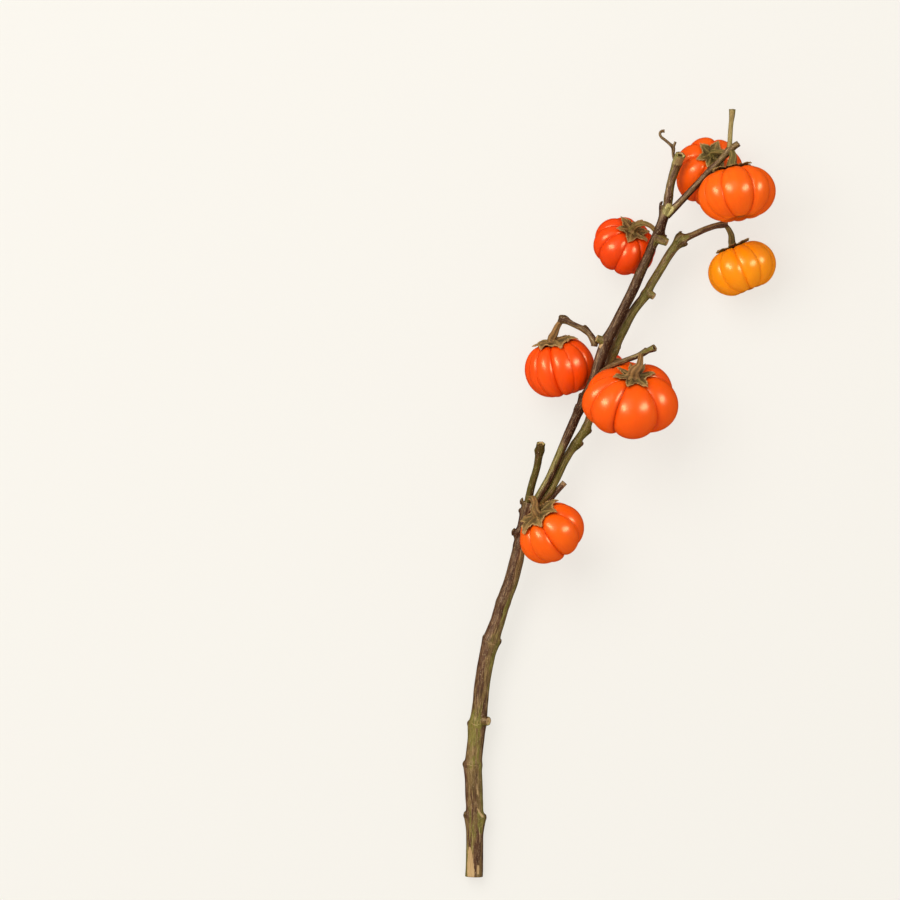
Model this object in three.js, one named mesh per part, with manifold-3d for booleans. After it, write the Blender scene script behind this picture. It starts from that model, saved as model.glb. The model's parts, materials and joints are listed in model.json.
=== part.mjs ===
// A cut branch of the ornamental pumpkin tree, laid down on a flat surface.
// Millimetres, +Z up. +Y runs from the cut foot of the stem to the twig tips, +X is to its right.
// The origin is under the middle of the branch, on the surface that it lies on.

import * as THREE from 'three';
import { mergeVertices } from 'three/addons/utils/BufferGeometryUtils.js';
import Module from 'manifold-3d';

const wasm = await Module();
wasm.setup();

// Driving dimensions, in mm. Places are measured from the cut foot of the stem.
const CLEARANCE = 0.3; // air between a stalk and the stem, and between a calyx and its fruit
const FLAT_DEPTH = 0.3; // how much of a resting fruit or of the foot is pressed flat
const LIMB_STEP = 8; // spacing of the sections along a stem
const RING_WIDTH = 2.6; // half length of the swelling at a node
const SMALL_SWELLING = 0.09; // a swelling up to this share needs no sections of its own
const BUD_SINK = 0.45; // share of a bud that is sunk into the stem
const COLUMNS_PER_RIB = 5;
const RIB_DEPTH = 0.115; // depth of the grooves beside a 45 degree rib, as a share of the radius
const SHOULDER = 0.86; // under 1 the fruit's outline bulges out beyond an ellipse
const DIMPLE_WIDTH = 0.36; // radius of the hollow at each pole as a share of the fruit's radius
const DIMPLE_STEEPNESS = 1.4; // how far the pole sinks for each mm of hollow
const BLOSSOM_DIMPLE = 0.7; // depth of the blossom end's hollow beside the one at the calyx
const RIB_FADE = 0.42; // distance from the pole where ribs begin, as a share of the fruit's radius
const FRUIT_ROWS = [12, 26, 41, 57, 74, 91, 108, 126, 144, 162]; // degrees down from the calyx
const LOBE_THICKNESS = 0.8;
const LOBE_MIDRIB = 0.5; // how much thicker a calyx lobe is along its middle
const LOBE_EDGE = { reach: 0.74, width: 0.3, rib: 0.3, curl: 0.4 }; // a lobe's widest place, as shares
const LOBE_SHARES = [1, 0.68, 0.36]; // rows of points from a lobe's edge to the middle of its star
const STAR_LIFT = CLEARANCE + 0.05; // height of the star's underside over the fruit
const CALYX_HUB = 0.11; // extra thickness at the middle of a calyx as a share of the fruit's radius
const NECK_REACH = 0.14; // straight start of a stalk above its foot as a share of the fruit's radius
const BARK = 0x63523a;
const DRY_CALYX = 0x7d6b45;

// Stems: rows of x, y, z, diameter, and how much the stem swells there as a share of its diameter.
const MAIN_STEM = [
  [0, 0, 5.8, 12.2], [0.5, 19.5, 7, 11.8], [0.5, 42.5, 8.6, 11.9, 0.05], [0, 61.5, 9.6, 12.4],
  [-0.5, 78.5, 10.4, 12, 0.06], [1, 93, 11.4, 11.6], [3, 109, 12.4, 11.8, 0.06],
  [4.5, 122, 13.6, 11], [6, 136.5, 14.6, 11], [9.5, 156, 16.2, 11.2], [12, 166, 17, 11.6, 0.05],
  [17, 180.5, 18.4, 10.3], [20.5, 192.5, 19.4, 10.3, 0.06], [26.2, 208, 20.8, 10.3],
  [30, 222.5, 22, 10], [31.7, 233, 22.8, 9.2, 0.1], [33.3, 243.5, 23.6, 8.8], [36, 254, 24.4, 8.9],
  [38.5, 262.5, 25.2, 8.4],
];
const LEFT_STUB = [
  [36.5, 256, 25, 6], [38.6, 266.5, 26.4, 5.4], [40.8, 276, 27.6, 5.2], [44, 287, 29, 5.1],
  [46, 299, 30.4, 5.4, 0.3], [46.8, 303.9, 33, 6.2],
];
const RIGHT_STUB = [
  [40, 257, 23.5, 4.6], [49.5, 262, 22.6, 4.2], [53, 264.5, 22.4, 4], [57.5, 270, 22.6, 4],
  [63.4, 276.6, 23, 4.2],
];
const DARK_LEADER = [
  [37, 255, 25.4, 6.4], [43, 263, 27, 5.8], [47, 270, 28, 5.4], [52.5, 279.5, 28.8, 5.6],
  [59.5, 295.5, 30.4, 5.6], [66.5, 311.5, 32, 6.6], [73.5, 327.5, 34, 6.6, 0.1],
  [78.5, 338, 36.4, 6.4, 0.12], [84, 350, 38.4, 7], [88.7, 364.5, 39.4, 8.2], [92.8, 376, 39.6, 8.3, 0.1],
  [97.8, 385, 39.5, 7.3], [102.9, 395, 39.4, 7], [111.4, 412, 39.4, 7.2], [116.3, 423.5, 39.5, 7],
  [122, 436, 40, 6.6], [125.5, 444.5, 40.6, 6.6], [129.5, 453, 41.2, 7.2, 0.14],
  [132.5, 461.5, 42, 6.8], [135.5, 469, 42.6, 7.4],
];
const TOP_LEADER = [
  [133, 463, 42.2, 6.4], [135, 469, 42.8, 6.6], [136, 476.5, 43.4, 6, 0.1], [138, 488, 44.4, 5.8],
  [141.8, 499.8, 45.8, 6.8, 0.08], [144, 505.6, 50.4, 7.5],
];
const CURLED_PEDUNCLE = [
  [140.6, 501, 45.8, 2.4], [139.3, 506, 46.6, 2.2], [139, 511, 47.4, 2.2, 0.3], [136.5, 513.6, 48, 2],
  [133, 516.5, 48.4, 2], [130.6, 518.4, 48.6, 1.9], [129.8, 520.6, 48.6, 1.9], [130.8, 522.2, 48.6, 2],
  [132.8, 522.4, 48.6, 2.4],
];
const CURLED_SPUR = [[139, 510.5, 47.4, 2], [140.6, 514.6, 48, 1.8]];
const RIGHT_TWIG = [
  [134.6, 463.4, 42.4, 5.8], [140.9, 469.6, 43.4, 5.2], [148.8, 477.8, 45.4, 4.7], [157, 486.5, 47.8, 4.6],
  [164, 494, 50, 4.6, 0.08], [171, 501, 52, 4.4], [178, 508.5, 54, 5, 0.2],
  [181.2, 511.2, 54.8, 4.6], [184.4, 513.4, 55.6, 4.4],
];
const THIN_TWIG = [
  [178, 508.5, 54, 3.8], [178.5, 514, 54.8, 3.4], [179.1, 525, 56.4, 3.3], [179.9, 533, 57.8, 3.4, 0.2],
  [180.1, 537, 58.4, 4.6],
];
const GREEN_LEADER = [
  [37.5, 255, 24, 6.6], [45, 262, 24.4, 6], [52.9, 270.5, 24.8, 5.6], [57.8, 279.5, 25, 5.6],
  [63.5, 291.5, 25.4, 5.6], [70.5, 303.5, 25.8, 5.6, 0.12], [78.5, 315.5, 26.4, 5.8, 0.1],
  [82.5, 326, 27, 6], [86, 338, 27.6, 6], [89.5, 350, 28.4, 6], [94, 361, 29, 6.2],
  [97.5, 368, 29.4, 6.4, 0.14], [101, 376, 29.8, 6.2], [104.9, 384, 30, 6.4], [111, 396, 30, 6.5],
  [120.3, 408.5, 30, 6.6, 0.14], [124.6, 416.5, 29.8, 6.2], [129.2, 423.8, 29.8, 6],
  [132.7, 429.8, 29.8, 6], [137.6, 437.7, 30, 6.2], [144.5, 446, 30, 6, 0.16], [153.5, 450.4, 29.6, 4.4],
  [162, 454.2, 29.2, 4.3], [168.5, 456.4, 29, 4.2], [173.5, 457.4, 28.8, 4.2, 0.16],
  [177.5, 457.8, 28.6, 4.6],
];
const LARGE_FRUIT_TWIG = [
  [87.6, 352.8, 39, 4.4], [96.2, 358.4, 50, 3.8], [105, 361.9, 57.2, 3.8], [113.4, 365, 61.8, 3.9],
  [117.8, 367, 63.4, 4.1, 0.1], [121.3, 368.9, 66.4, 4], [125.5, 370.6, 69.6, 5.2],
];
const LEFT_FRUIT_PEDUNCLE = [
  [84, 372, 38.4, 4.4], [84.2, 374.6, 38.4, 5.4], [83, 377.2, 38, 5], [80.8, 380.6, 37, 4.2],
  [77.6, 383.4, 36, 4, 0.12], [68.8, 387.8, 34, 3.8], [62.6, 390.4, 32.4, 4.2, 0.2],
  [60, 389.2, 31, 3.6],
];

// Buds and cut shoots on a stem: x, y of the tip, diameter.
const MAIN_BUDS = [
  [-7.2, 43, 5.6], [8.6, 41.5, 5.4], [-7.8, 79, 4.8], [-4.6, 108, 4.4], [6.2, 168.5, 5.2],
  [19, 164.8, 5.2], [27.2, 243.2, 5.2], [31.6, 262, 4.6],
];
const DARK_BUDS = [[73.4, 338.5, 3.2], [71, 331.2, 3], [134.6, 448.4, 3], [130, 472.4, 3.8]];
const GREEN_BUDS = [
  [82, 312, 3.8], [76.2, 303, 3.8], [102.6, 371, 3.4], [144, 452.6, 3], [148.6, 442.6, 3.8],
];
const TWIG_BUDS = [[119, 370.8, 2]];
const PEDUNCLE_BUDS = [[60.4, 394, 3.2], [78.4, 386.8, 2.6]];

// Fruits: centre, height of the centre (none where the fruit rests), radius, half height,
// direction of the calyx, where the first groove is in degrees, the ribs as width in degrees, size
// beside the others and depth of the groove that starts them, and the depth of the hollow at the calyx.
const FRUITS = [
  {
    place: 'top_back', at: [164.8, 494.5], radius: 24.5, half: 23.2, axis: [0.1, 0.57, 0.82], turn: 82,
    ribs: [[50, 1], [56, 1.01], [56, 1.02], [49, 1], [50, 0.98], [49, 0.98], [50, 1]],
    dimple: 4, colour: 0xf55a12,
  },
  {
    place: 'top_front', at: [183.1, 478.1], z: 65, radius: 27.3, half: 19.9, axis: [-0.17, 0.97, -0.16],
    turn: 208, ribs: [
      [36, 1, 0.7], [53, 1.01, 0.9], [35, 1, 1.2], [48, 1, 0.8], [47, 0.98], [46, 0.98], [48, 0.98],
      [47, 1],
    ],
    dimple: 4, colour: 0xf9610c,
  },
  {
    place: 'yellow', at: [187.9, 427], radius: 24.5, half: 18.2, axis: [-0.375, 0.927, -0.03], turn: 189,
    ribs: [
      [39, 1, 0.7], [39, 1, 0.7], [33, 0.99, 1.2], [41, 1, 0.7], [42, 1, 0.8], [42, 0.98],
      [41, 0.98], [41, 0.98], [42, 1],
    ],
    dimple: 3.6, colour: 0xfb8f0a,
  },
  {
    place: 'upper_left', at: [106.1, 442.5], radius: 22.6, half: 17.3, axis: [0.33, 0.7, 0.63], turn: 170,
    ribs: [
      [37, 1.01], [47, 1, 1.05], [44, 1, 1.05], [47, 1, 1.05], [47, 0.98], [46, 0.98], [46, 1],
      [46, 1.03],
    ],
    dimple: 3.4, colour: 0xf0430d,
  },
  {
    place: 'left', at: [60, 357.2], radius: 24.6, half: 20.8, axis: [-0.25, 0.955, 0.16], turn: 203,
    ribs: [
      [22, 0.99, 0.8], [34, 1, 0.8], [34, 1, 1.6], [34, 1, 0.5], [38, 1.02, 0.9], [40, 1.02],
      [39, 1], [40, 0.98], [39, 0.98], [40, 1],
    ],
    dimple: 3.6, colour: 0xf24a0d,
  },
  {
    place: 'large', at: [108.3, 335], z: 56, radius: 34.9, half: 22.8, axis: [0.14, 0.82, 0.55], turn: 184,
    ribs: [
      [30, 1, 0.9], [34, 1, 0.9], [63, 1, 1.25], [66, 1, 1.35], [58, 1.03, 1.1], [55, 0.94],
      [54, 0.87],
    ],
    dimple: 4.4, colour: 0xf95a11,
  },
  {
    place: 'small_back', at: [94.5, 357], radius: 11.8, half: 9.4, axis: [0.1, 0.25, 0.96], turn: 10,
    ribs: [[60, 1], [55, 0.98], [65, 1], [60, 1], [62, 0.98], [58, 1]],
    dimple: 1.6, colour: 0xee4a14,
  },
  {
    place: 'low', at: [54, 241.7], z: 43, radius: 24.3, half: 18.6, axis: [-0.565, 0.75, 0.34], turn: 233,
    ribs: [
      [40, 1, 0.9], [58, 1.02, 1.35], [52, 1, 0.8], [53, 0.98, 0.8], [52, 0.98], [52, 0.98], [53, 1],
    ],
    dimple: 3.4, colour: 0xfa5e10,
  },
];

// Calyx of each fruit: lobes as direction round the fruit, reach down from its pole and width, in
// degrees, and lift of the tip in mm; the stalk from the stem as rows of x, y, z, diameter; the
// stalk's diameter where it leaves the calyx and at its foot; and how far down the notches between
// the lobes are, as a share of the lobes' reach.
const CALYCES = {
  top_back: {
    lobes: [
      [12, 28, 52], [72, 27, 50], [140, 26, 50, 1], [206, 28, 50], [252, 29, 46, 1], [305, 28, 52],
    ],
    stalk: [[176.6, 507, 53, 3.2], [172.5, 507.6, 51, 3.4]], neck: 4.4, base: 8, notch: 0.58,
  },
  top_front: {
    lobes: [
      [20, 34, 52], [84, 38, 54], [150, 38, 54], [226, 42, 48, 0.4], [266, 40, 42], [322, 34, 48, 0.2],
    ],
    stalk: [[179.6, 508, 54.6, 4.8], [180.8, 504.2, 58, 5.4]], neck: 7.4, base: 11, notch: 0.62,
  },
  yellow: {
    lobes: [
      [20, 28, 50, 0.3], [88, 36, 54], [152, 32, 52], [206, 29, 48], [264, 28, 46], [326, 33, 46, 0.6],
    ],
    stalk: [[175.4, 457.6, 28.7, 3], [178, 454.8, 27.6, 3.6], [180.3, 450, 26, 4.4]],
    neck: 5.4, base: 9.2, notch: 0.55,
  },
  upper_left: {
    lobes: [
      [9, 29, 50], [62, 32, 46, 1], [134, 31, 52, 0.8], [198, 31, 52], [256, 35, 56], [318, 32, 50, 0.6],
    ],
    stalk: [
      [127.5, 452, 41, 3.4], [123.8, 456, 42, 3.4], [119.3, 458, 41.6, 3.8], [115.2, 457.4, 39.8, 4.4],
    ],
    neck: 5.6, base: 10.4, notch: 0.56,
  },
  left: {
    lobes: [
      [60, 36, 54], [122, 36, 54, 0.6], [184, 32, 52], [236, 38, 48], [286, 46, 48], [342, 42, 52, 0.4],
    ],
    stalk: [[61, 389.8, 31.4, 3.8], [58.2, 385.4, 30, 4.6], [56.6, 381.4, 29, 5.4]],
    neck: 6.4, base: 10.8, notch: 0.8,
  },
  large: {
    lobes: [
      [16, 26, 42, 0.6], [58, 23, 36, 0.8], [102, 18, 38], [154, 20, 42], [205, 25, 42], [255, 27, 38],
      [305, 27, 38],
    ],
    stalk: [[116.2, 366.4, 63.2, 3.4], [115.8, 362.2, 67.6, 4.2], [114.8, 357.8, 69.6, 5.6]],
    neck: 7.8, base: 12, notch: 0.44,
  },
  small_back: {
    lobes: [[30, 40, 60], [100, 40, 60], [170, 40, 60], [240, 40, 60], [310, 40, 60]],
    stalk: [[93.6, 359.6, 28.6, 2.6]], neck: 3, base: 4.4, notch: 0.54,
  },
  low: {
    lobes: [
      [26, 43, 52, 0.8], [90, 38, 54], [156, 36, 54], [226, 45, 46, 0.6], [274, 44, 44], [324, 44, 46, 0.8],
    ],
    stalk: [[39, 265.4, 27, 4], [41.4, 265.4, 36, 4.4], [43, 261, 43.6, 5.2]],
    neck: 6.2, base: 10.4, notch: 0.64,
  },
};

// Solids

function toSolid(geometry) {
  const bare = geometry.index ? geometry.toNonIndexed() : geometry.clone();
  bare.deleteAttribute('normal');
  bare.deleteAttribute('uv');
  const merged = mergeVertices(bare, 1e-5);
  return new wasm.Manifold(new wasm.Mesh({
    numProp: 3,
    vertProperties: new Float32Array(merged.attributes.position.array),
    triVerts: new Uint32Array(merged.index.array),
  }));
}

function toGeometry(solid) {
  const mesh = solid.getMesh();
  const geometry = new THREE.BufferGeometry();
  geometry.setAttribute('position', new THREE.BufferAttribute(new Float32Array(mesh.vertProperties), 3));
  geometry.setIndex(new THREE.BufferAttribute(new Uint32Array(mesh.triVerts), 1));
  return geometry;
}

function joined(geometries) {
  return geometries.map(toSolid).reduce((whole, piece) => whole.add(piece));
}

// A closed body from rings of points, with a point at each end.
function ringedBody(rings, start, end) {
  const count = rings[0].length;
  const points = [start, ...rings.flat(), end];
  const last = points.length - 1;
  const index = [];
  for (let j = 0; j < count; j++) {
    const next = (j + 1) % count;
    index.push(0, 1 + next, 1 + j);
    for (let i = 0; i < rings.length - 1; i++) {
      const a = 1 + i * count;
      const b = a + count;
      index.push(a + j, a + next, b + j);
      index.push(a + next, b + next, b + j);
    }
    const edge = 1 + (rings.length - 1) * count;
    index.push(edge + j, edge + next, last);
  }
  const geometry = new THREE.BufferGeometry().setFromPoints(points);
  geometry.setIndex(index);
  return geometry;
}

// Stems

// The smooth middle line of a stem, with its diameter at any distance along it.
function limbPath(rows) {
  const finesse = 12;
  const points = rows.map(([x, y, z]) => new THREE.Vector3(x, y, z));
  const curve = new THREE.CatmullRomCurve3(points, false, 'centripetal');
  curve.arcLengthDivisions = finesse * (rows.length - 1);
  const lengths = curve.getLengths();
  const marks = rows.map((row, i) => lengths[i * finesse]);
  const length = marks[marks.length - 1];
  const diameterAt = (s) => {
    let i = 0;
    while (i < rows.length - 2 && s > marks[i + 1]) i++;
    const share = THREE.MathUtils.clamp((s - marks[i]) / (marks[i + 1] - marks[i]), 0, 1);
    let diameter = THREE.MathUtils.lerp(rows[i][3], rows[i + 1][3], share);
    rows.forEach((row, k) => {
      diameter += row[3] * (row[4] ?? 0) * Math.exp(-(((s - marks[k]) / RING_WIDTH) ** 2));
    });
    return diameter;
  };
  return { curve, rows, marks, length, diameterAt };
}

// Distances of the sections: even steps, and three close ones at each node.
function sectionsOf(path, step) {
  const places = [];
  const count = Math.max(2, Math.round(path.length / step));
  for (let i = 0; i <= count; i++) places.push((path.length * i) / count);
  path.rows.forEach((row, k) => {
    const mark = path.marks[k];
    if (row[4] > SMALL_SWELLING) places.push(mark - RING_WIDTH, mark, mark + RING_WIDTH);
  });
  places.sort((a, b) => a - b);
  const inside = places.filter((s) => s >= 0 && s <= path.length);
  const closest = step * 0.22;
  return inside.filter((s, i) => i === 0 || s === path.length || s - inside[i - 1] > closest
    && path.length - s > closest);
}

// A solid stem along its path. Ridges pull every second side in, grow makes it fatter all over.
function limb(path, { sides = 8, step = LIMB_STEP, ridge = 0, grow = 0 } = {}) {
  const side = new THREE.Vector3(1, 0, 0);
  const rings = [];
  const places = sectionsOf(path, step);
  for (const s of places) {
    const u = s / path.length;
    const centre = path.curve.getPointAt(u);
    const tangent = path.curve.getTangentAt(u);
    if (s === 0) centre.addScaledVector(tangent, -grow);
    if (s === path.length) centre.addScaledVector(tangent, grow);
    side.addScaledVector(tangent, -side.dot(tangent)).normalize();
    const up = new THREE.Vector3().crossVectors(tangent, side);
    const radius = path.diameterAt(s) / 2 + grow;
    const ring = [];
    for (let j = 0; j < sides; j++) {
      const angle = (2 * Math.PI * (j + 0.5)) / sides;
      const r = radius * (1 - (j % 2) * ridge);
      ring.push(centre.clone()
        .addScaledVector(side, r * Math.cos(angle))
        .addScaledVector(up, r * Math.sin(angle)));
    }
    rings.push(ring);
  }
  const middle = (ring) => ring.reduce((sum, p) => sum.add(p), new THREE.Vector3()).divideScalar(sides);
  return ringedBody(rings, middle(rings[0]), middle(rings[rings.length - 1]));
}

// The point of a stem's middle line that is nearest to x, y in plan.
function nearestOn(path, x, y) {
  let best = null;
  for (let i = 0; i <= 200; i++) {
    const point = path.curve.getPointAt(i / 200);
    const distance = Math.hypot(point.x - x, point.y - y);
    if (!best || distance < best.distance) best = { point, distance };
  }
  return best.point;
}

// A bud: a small lump sunk into the side of the stem.
function bud(path, [x, y, size], grow) {
  const centre = nearestOn(path, x, y);
  const outward = new THREE.Vector3(x, y, centre.z + size * 0.3).sub(centre);
  const tip = centre.clone().add(outward);
  const half = size / 2 + grow;
  const geometry = new THREE.OctahedronGeometry(1, 1);
  geometry.scale(half, half, half * 1.3);
  const turn = new THREE.Quaternion().setFromUnitVectors(
    new THREE.Vector3(0, 0, 1), outward.clone().normalize());
  geometry.applyQuaternion(turn);
  const seat = tip.addScaledVector(outward.normalize(), -size * BUD_SINK);
  return geometry.translate(seat.x, seat.y, seat.z);
}

// A side shoot cut off short: it leaves the stem's middle line and ends in a flat cut face.
function cutShoot(path, x, y, lift, diameter, grow) {
  const from = nearestOn(path, x, y);
  const rows = [[from.x, from.y, from.z, diameter * 0.9], [x, y, from.z + lift, diameter]];
  return limb(limbPath(rows), { sides: 8, step: 3, grow });
}

// All the wood of the branch, which grew as one piece.
function woodSolid(grow = 0) {
  const main = limbPath(MAIN_STEM);
  const dark = limbPath(DARK_LEADER);
  const green = limbPath(GREEN_LEADER);
  const largeTwig = limbPath(LARGE_FRUIT_TWIG);
  const peduncle = limbPath(LEFT_FRUIT_PEDUNCLE);
  const pieces = [
    limb(main, { sides: 10, grow }),
    limb(dark, { sides: 8, grow }),
    limb(green, { sides: 8, grow }),
    limb(limbPath(LEFT_STUB), { sides: 8, grow }),
    limb(limbPath(RIGHT_STUB), { sides: 6, grow }),
    limb(limbPath(TOP_LEADER), { sides: 8, grow }),
    limb(limbPath(CURLED_PEDUNCLE), { sides: 6, step: 3, grow }),
    limb(limbPath(CURLED_SPUR), { sides: 6, step: 3, grow }),
    limb(limbPath(RIGHT_TWIG), { sides: 6, grow }),
    limb(limbPath(THIN_TWIG), { sides: 6, grow }),
    limb(largeTwig, { sides: 6, grow }),
    limb(peduncle, { sides: 6, step: 4, grow }),
    cutShoot(main, 9.8, 109.3, 5, 6.4, grow),
    cutShoot(dark, 134.8, 444.8, 2, 5.6, grow),
    cutShoot(green, 125.7, 407.2, 2, 5, grow),
    cutShoot(dark, 86, 377.6, 2, 5.4, grow),
    ...MAIN_BUDS.map((row) => bud(main, row, grow)),
    ...DARK_BUDS.map((row) => bud(dark, row, grow)),
    ...GREEN_BUDS.map((row) => bud(green, row, grow)),
    ...TWIG_BUDS.map((row) => bud(largeTwig, row, grow)),
    ...PEDUNCLE_BUDS.map((row) => bud(peduncle, row, grow)),
  ];
  return joined(pieces);
}

// Fruits

// The fruit's outline from its calyx pole (0 degrees) to its blossom end (180), at a rib's crown:
// a fat lens with a hollow at each pole.
function meridian(fruit, degrees) {
  const angle = THREE.MathUtils.degToRad(degrees);
  const out = fruit.radius * Math.abs(Math.sin(angle)) ** SHOULDER;
  const hollow = Math.exp(-((out / (fruit.radius * DIMPLE_WIDTH)) ** 2));
  const depth = degrees < 90 ? fruit.dimple : fruit.dimple * BLOSSOM_DIMPLE;
  const up = (fruit.half - depth * hollow * DIMPLE_STEEPNESS) * Math.cos(angle);
  return new THREE.Vector2(out, up);
}

// The fruit's surface: ribs are arcs between sharp grooves, which fade out at the poles.
function fruitRings(fruit, grow) {
  const columns = [];
  let start = fruit.turn;
  fruit.ribs.forEach(([span, size, cleft = 1], i) => {
    const before = fruit.ribs.at(i - 1)[1];
    const [, after, nextCleft = 1] = fruit.ribs[(i + 1) % fruit.ribs.length];
    const depth = RIB_DEPTH * (span / 45) ** 0.8;
    for (let k = 0; k < COLUMNS_PER_RIB; k++) {
      const across = (2 * k) / COLUMNS_PER_RIB - 1;
      const edge = (size + (across < 0 ? before : after)) / 2;
      columns.push({
        angle: THREE.MathUtils.degToRad(start + (span * k) / COLUMNS_PER_RIB),
        groove: depth * (across < 0 ? cleft : nextCleft) * (1 - (1 - across * across) ** 0.6),
        size: THREE.MathUtils.lerp(size, edge, across * across),
      });
    }
    start += span;
  });
  return FRUIT_ROWS.map((degrees) => {
    const section = meridian(fruit, degrees);
    const fade = 1 - Math.exp(-((section.x / (fruit.radius * RIB_FADE)) ** 2));
    return columns.map(({ angle, groove, size }) => {
      const share = 1 + (size - 1 - groove) * fade + grow / fruit.radius;
      return new THREE.Vector3(
        section.x * share * Math.cos(angle), section.x * share * Math.sin(angle), section.y * share);
    });
  });
}

function fruitGeometry(fruit, grow = 0) {
  const top = meridian(fruit, 0).y + grow;
  const bottom = meridian(fruit, 180).y - grow;
  return ringedBody(
    fruitRings(fruit, grow).reverse(), new THREE.Vector3(0, 0, bottom), new THREE.Vector3(0, 0, top));
}

// The frame of a fruit: its own Z runs to the calyx, its own X leans to the branch's +X.
function fruitGroup(fruit) {
  const z = new THREE.Vector3(...fruit.axis).normalize();
  const x = new THREE.Vector3(1, 0, 0).addScaledVector(z, -z.x).normalize();
  const y = new THREE.Vector3().crossVectors(z, x);
  const group = new THREE.Group();
  group.quaternion.setFromRotationMatrix(new THREE.Matrix4().makeBasis(x, y, z));
  group.position.set(fruit.at[0], fruit.at[1], fruit.z ?? 0);
  group.updateMatrix();
  if (fruit.z === undefined) {
    const turned = fruitGeometry(fruit).applyMatrix4(group.matrix);
    turned.computeBoundingBox();
    group.position.z = -turned.boundingBox.min.z - FLAT_DEPTH;
    group.updateMatrix();
  }
  return group;
}

// Everything below the surface that the branch rests on.
function ground() {
  const slab = new THREE.BoxGeometry(1200, 1200, 40);
  return toSolid(slab.translate(100, 300, -20));
}

// Calyces

// A lobed star on the fruit's shoulder. A point of it is a direction round the fruit and a number
// of degrees down from its pole, raised off the fruit along the outline's normal.
function calyxStar(fruit, { lobes, notch }) {
  const raised = (direction, degrees, height) => {
    const section = meridian(fruit, degrees);
    const before = meridian(fruit, Math.max(0, degrees - 1));
    const after = meridian(fruit, degrees + 1);
    const slope = after.sub(before).normalize();
    const out = section.x - slope.y * height;
    const up = section.y + slope.x * height;
    return new THREE.Vector3(out * Math.cos(direction), out * Math.sin(direction), up);
  };
  const outline = [];
  lobes.forEach(([direction, reach, width, curl = 0], i) => {
    const next = lobes[(i + 1) % lobes.length];
    const gap = ((next[0] - direction + 360) % 360) / 2;
    const edge = { reach: reach * LOBE_EDGE.reach, rib: LOBE_EDGE.rib, curl: curl * LOBE_EDGE.curl };
    const aside = width * LOBE_EDGE.width;
    const notched = Math.min(reach, next[1]) * notch;
    outline.push({ direction: direction - aside, ...edge });
    outline.push({ direction, reach, rib: 1, curl });
    outline.push({ direction: direction + aside, ...edge });
    outline.push({ direction: direction + gap, reach: notched, rib: 0, curl: 0 });
  });
  const hub = CALYX_HUB * fruit.radius;
  const side = (top) => LOBE_SHARES.map((share) => outline.map((point) => {
    const lift = STAR_LIFT + point.curl * share ** 3;
    const body = LOBE_THICKNESS + LOBE_MIDRIB * point.rib * (1.1 - share) + hub * (1 - share) ** 3;
    return raised(THREE.MathUtils.degToRad(point.direction), point.reach * share, lift + top * body);
  }));
  const rings = [...side(0).reverse(), ...side(1)];
  const floor = raised(0, 0, STAR_LIFT);
  const roof = raised(0, 0, STAR_LIFT + LOBE_THICKNESS + LOBE_MIDRIB + hub);
  return ringedBody(rings, floor, roof);
}

// The ridged stalk between the stem and the calyx. It leaves the calyx along the fruit's axis.
function stalkGeometry(fruit, calyx, group) {
  const root = meridian(fruit, 0).y + CLEARANCE + LOBE_THICKNESS + CALYX_HUB * fruit.radius * 0.4;
  const onAxis = (height, diameter) => {
    const point = group.localToWorld(new THREE.Vector3(0, 0, root + height));
    return [point.x, point.y, point.z, diameter];
  };
  const reach = fruit.radius * NECK_REACH;
  const rows = [
    ...calyx.stalk,
    onAxis(reach, calyx.neck),
    onAxis(reach * 0.4, (calyx.neck + calyx.base) / 2.3),
    onAxis(0, calyx.base),
  ];
  const stalk = limb(limbPath(rows), { sides: 8, step: 4, ridge: 0.16 });
  return stalk.applyMatrix4(group.matrix.clone().invert());
}

// Assembly

function piece(name, geometry, colour, roughness) {
  const material = new THREE.MeshStandardMaterial({ color: colour, roughness, metalness: 0 });
  const mesh = new THREE.Mesh(geometry, material);
  mesh.name = name;
  return mesh;
}

function placed(solid, matrix) {
  return toSolid(toGeometry(solid).applyMatrix4(matrix));
}

// The solid with what another one holds cut away, left as it is where they don't meet.
function clearOf(solid, other) {
  return solid.intersect(other).isEmpty() ? solid : solid.subtract(other);
}

const branch = new THREE.Group();
const floor = ground();
const clearWood = woodSolid(CLEARANCE);
const wood = woodSolid().subtract(floor);
branch.add(piece('stem', toGeometry(wood), BARK, 0.75));

for (const fruit of FRUITS) {
  const group = fruitGroup(fruit);
  const inward = group.matrix.clone().invert();
  let flesh = toSolid(fruitGeometry(fruit));
  if (fruit.z === undefined) flesh = flesh.subtract(placed(floor, inward));
  group.add(piece(`fruit_${fruit.place}`, toGeometry(flesh), fruit.colour, 0.3));

  const calyx = CALYCES[fruit.place];
  const star = toSolid(calyxStar(fruit, calyx));
  const stalk = toSolid(stalkGeometry(fruit, calyx, group));
  const roomy = toSolid(fruitGeometry(fruit, CLEARANCE * 0.6));
  const dry = clearOf(clearOf(star.add(stalk), roomy), placed(clearWood, inward));
  group.add(piece(`calyx_${fruit.place}`, toGeometry(dry), DRY_CALYX, 0.85));
  branch.add(group);
}

// The origin goes under the middle of the branch.
branch.updateMatrixWorld(true);
const box = new THREE.Box3().setFromObject(branch, true);
const middle = box.getCenter(new THREE.Vector3());
branch.position.set(-middle.x, -middle.y, -box.min.z);
branch.updateMatrixWorld(true);

export default branch;
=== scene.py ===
"""A cut branch of the ornamental pumpkin tree, laid down on a pale floor.

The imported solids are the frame. Each of them is replaced by a finer piece of the same form: the
bark with its buds and cut faces, the dry calyces with their ridged stalks, and the ribbed fruits.
Lengths in the tables are millimetres from the cut foot of the stem, as seen from above, and z is
the height over the floor.
"""

import json
from collections import namedtuple

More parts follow.
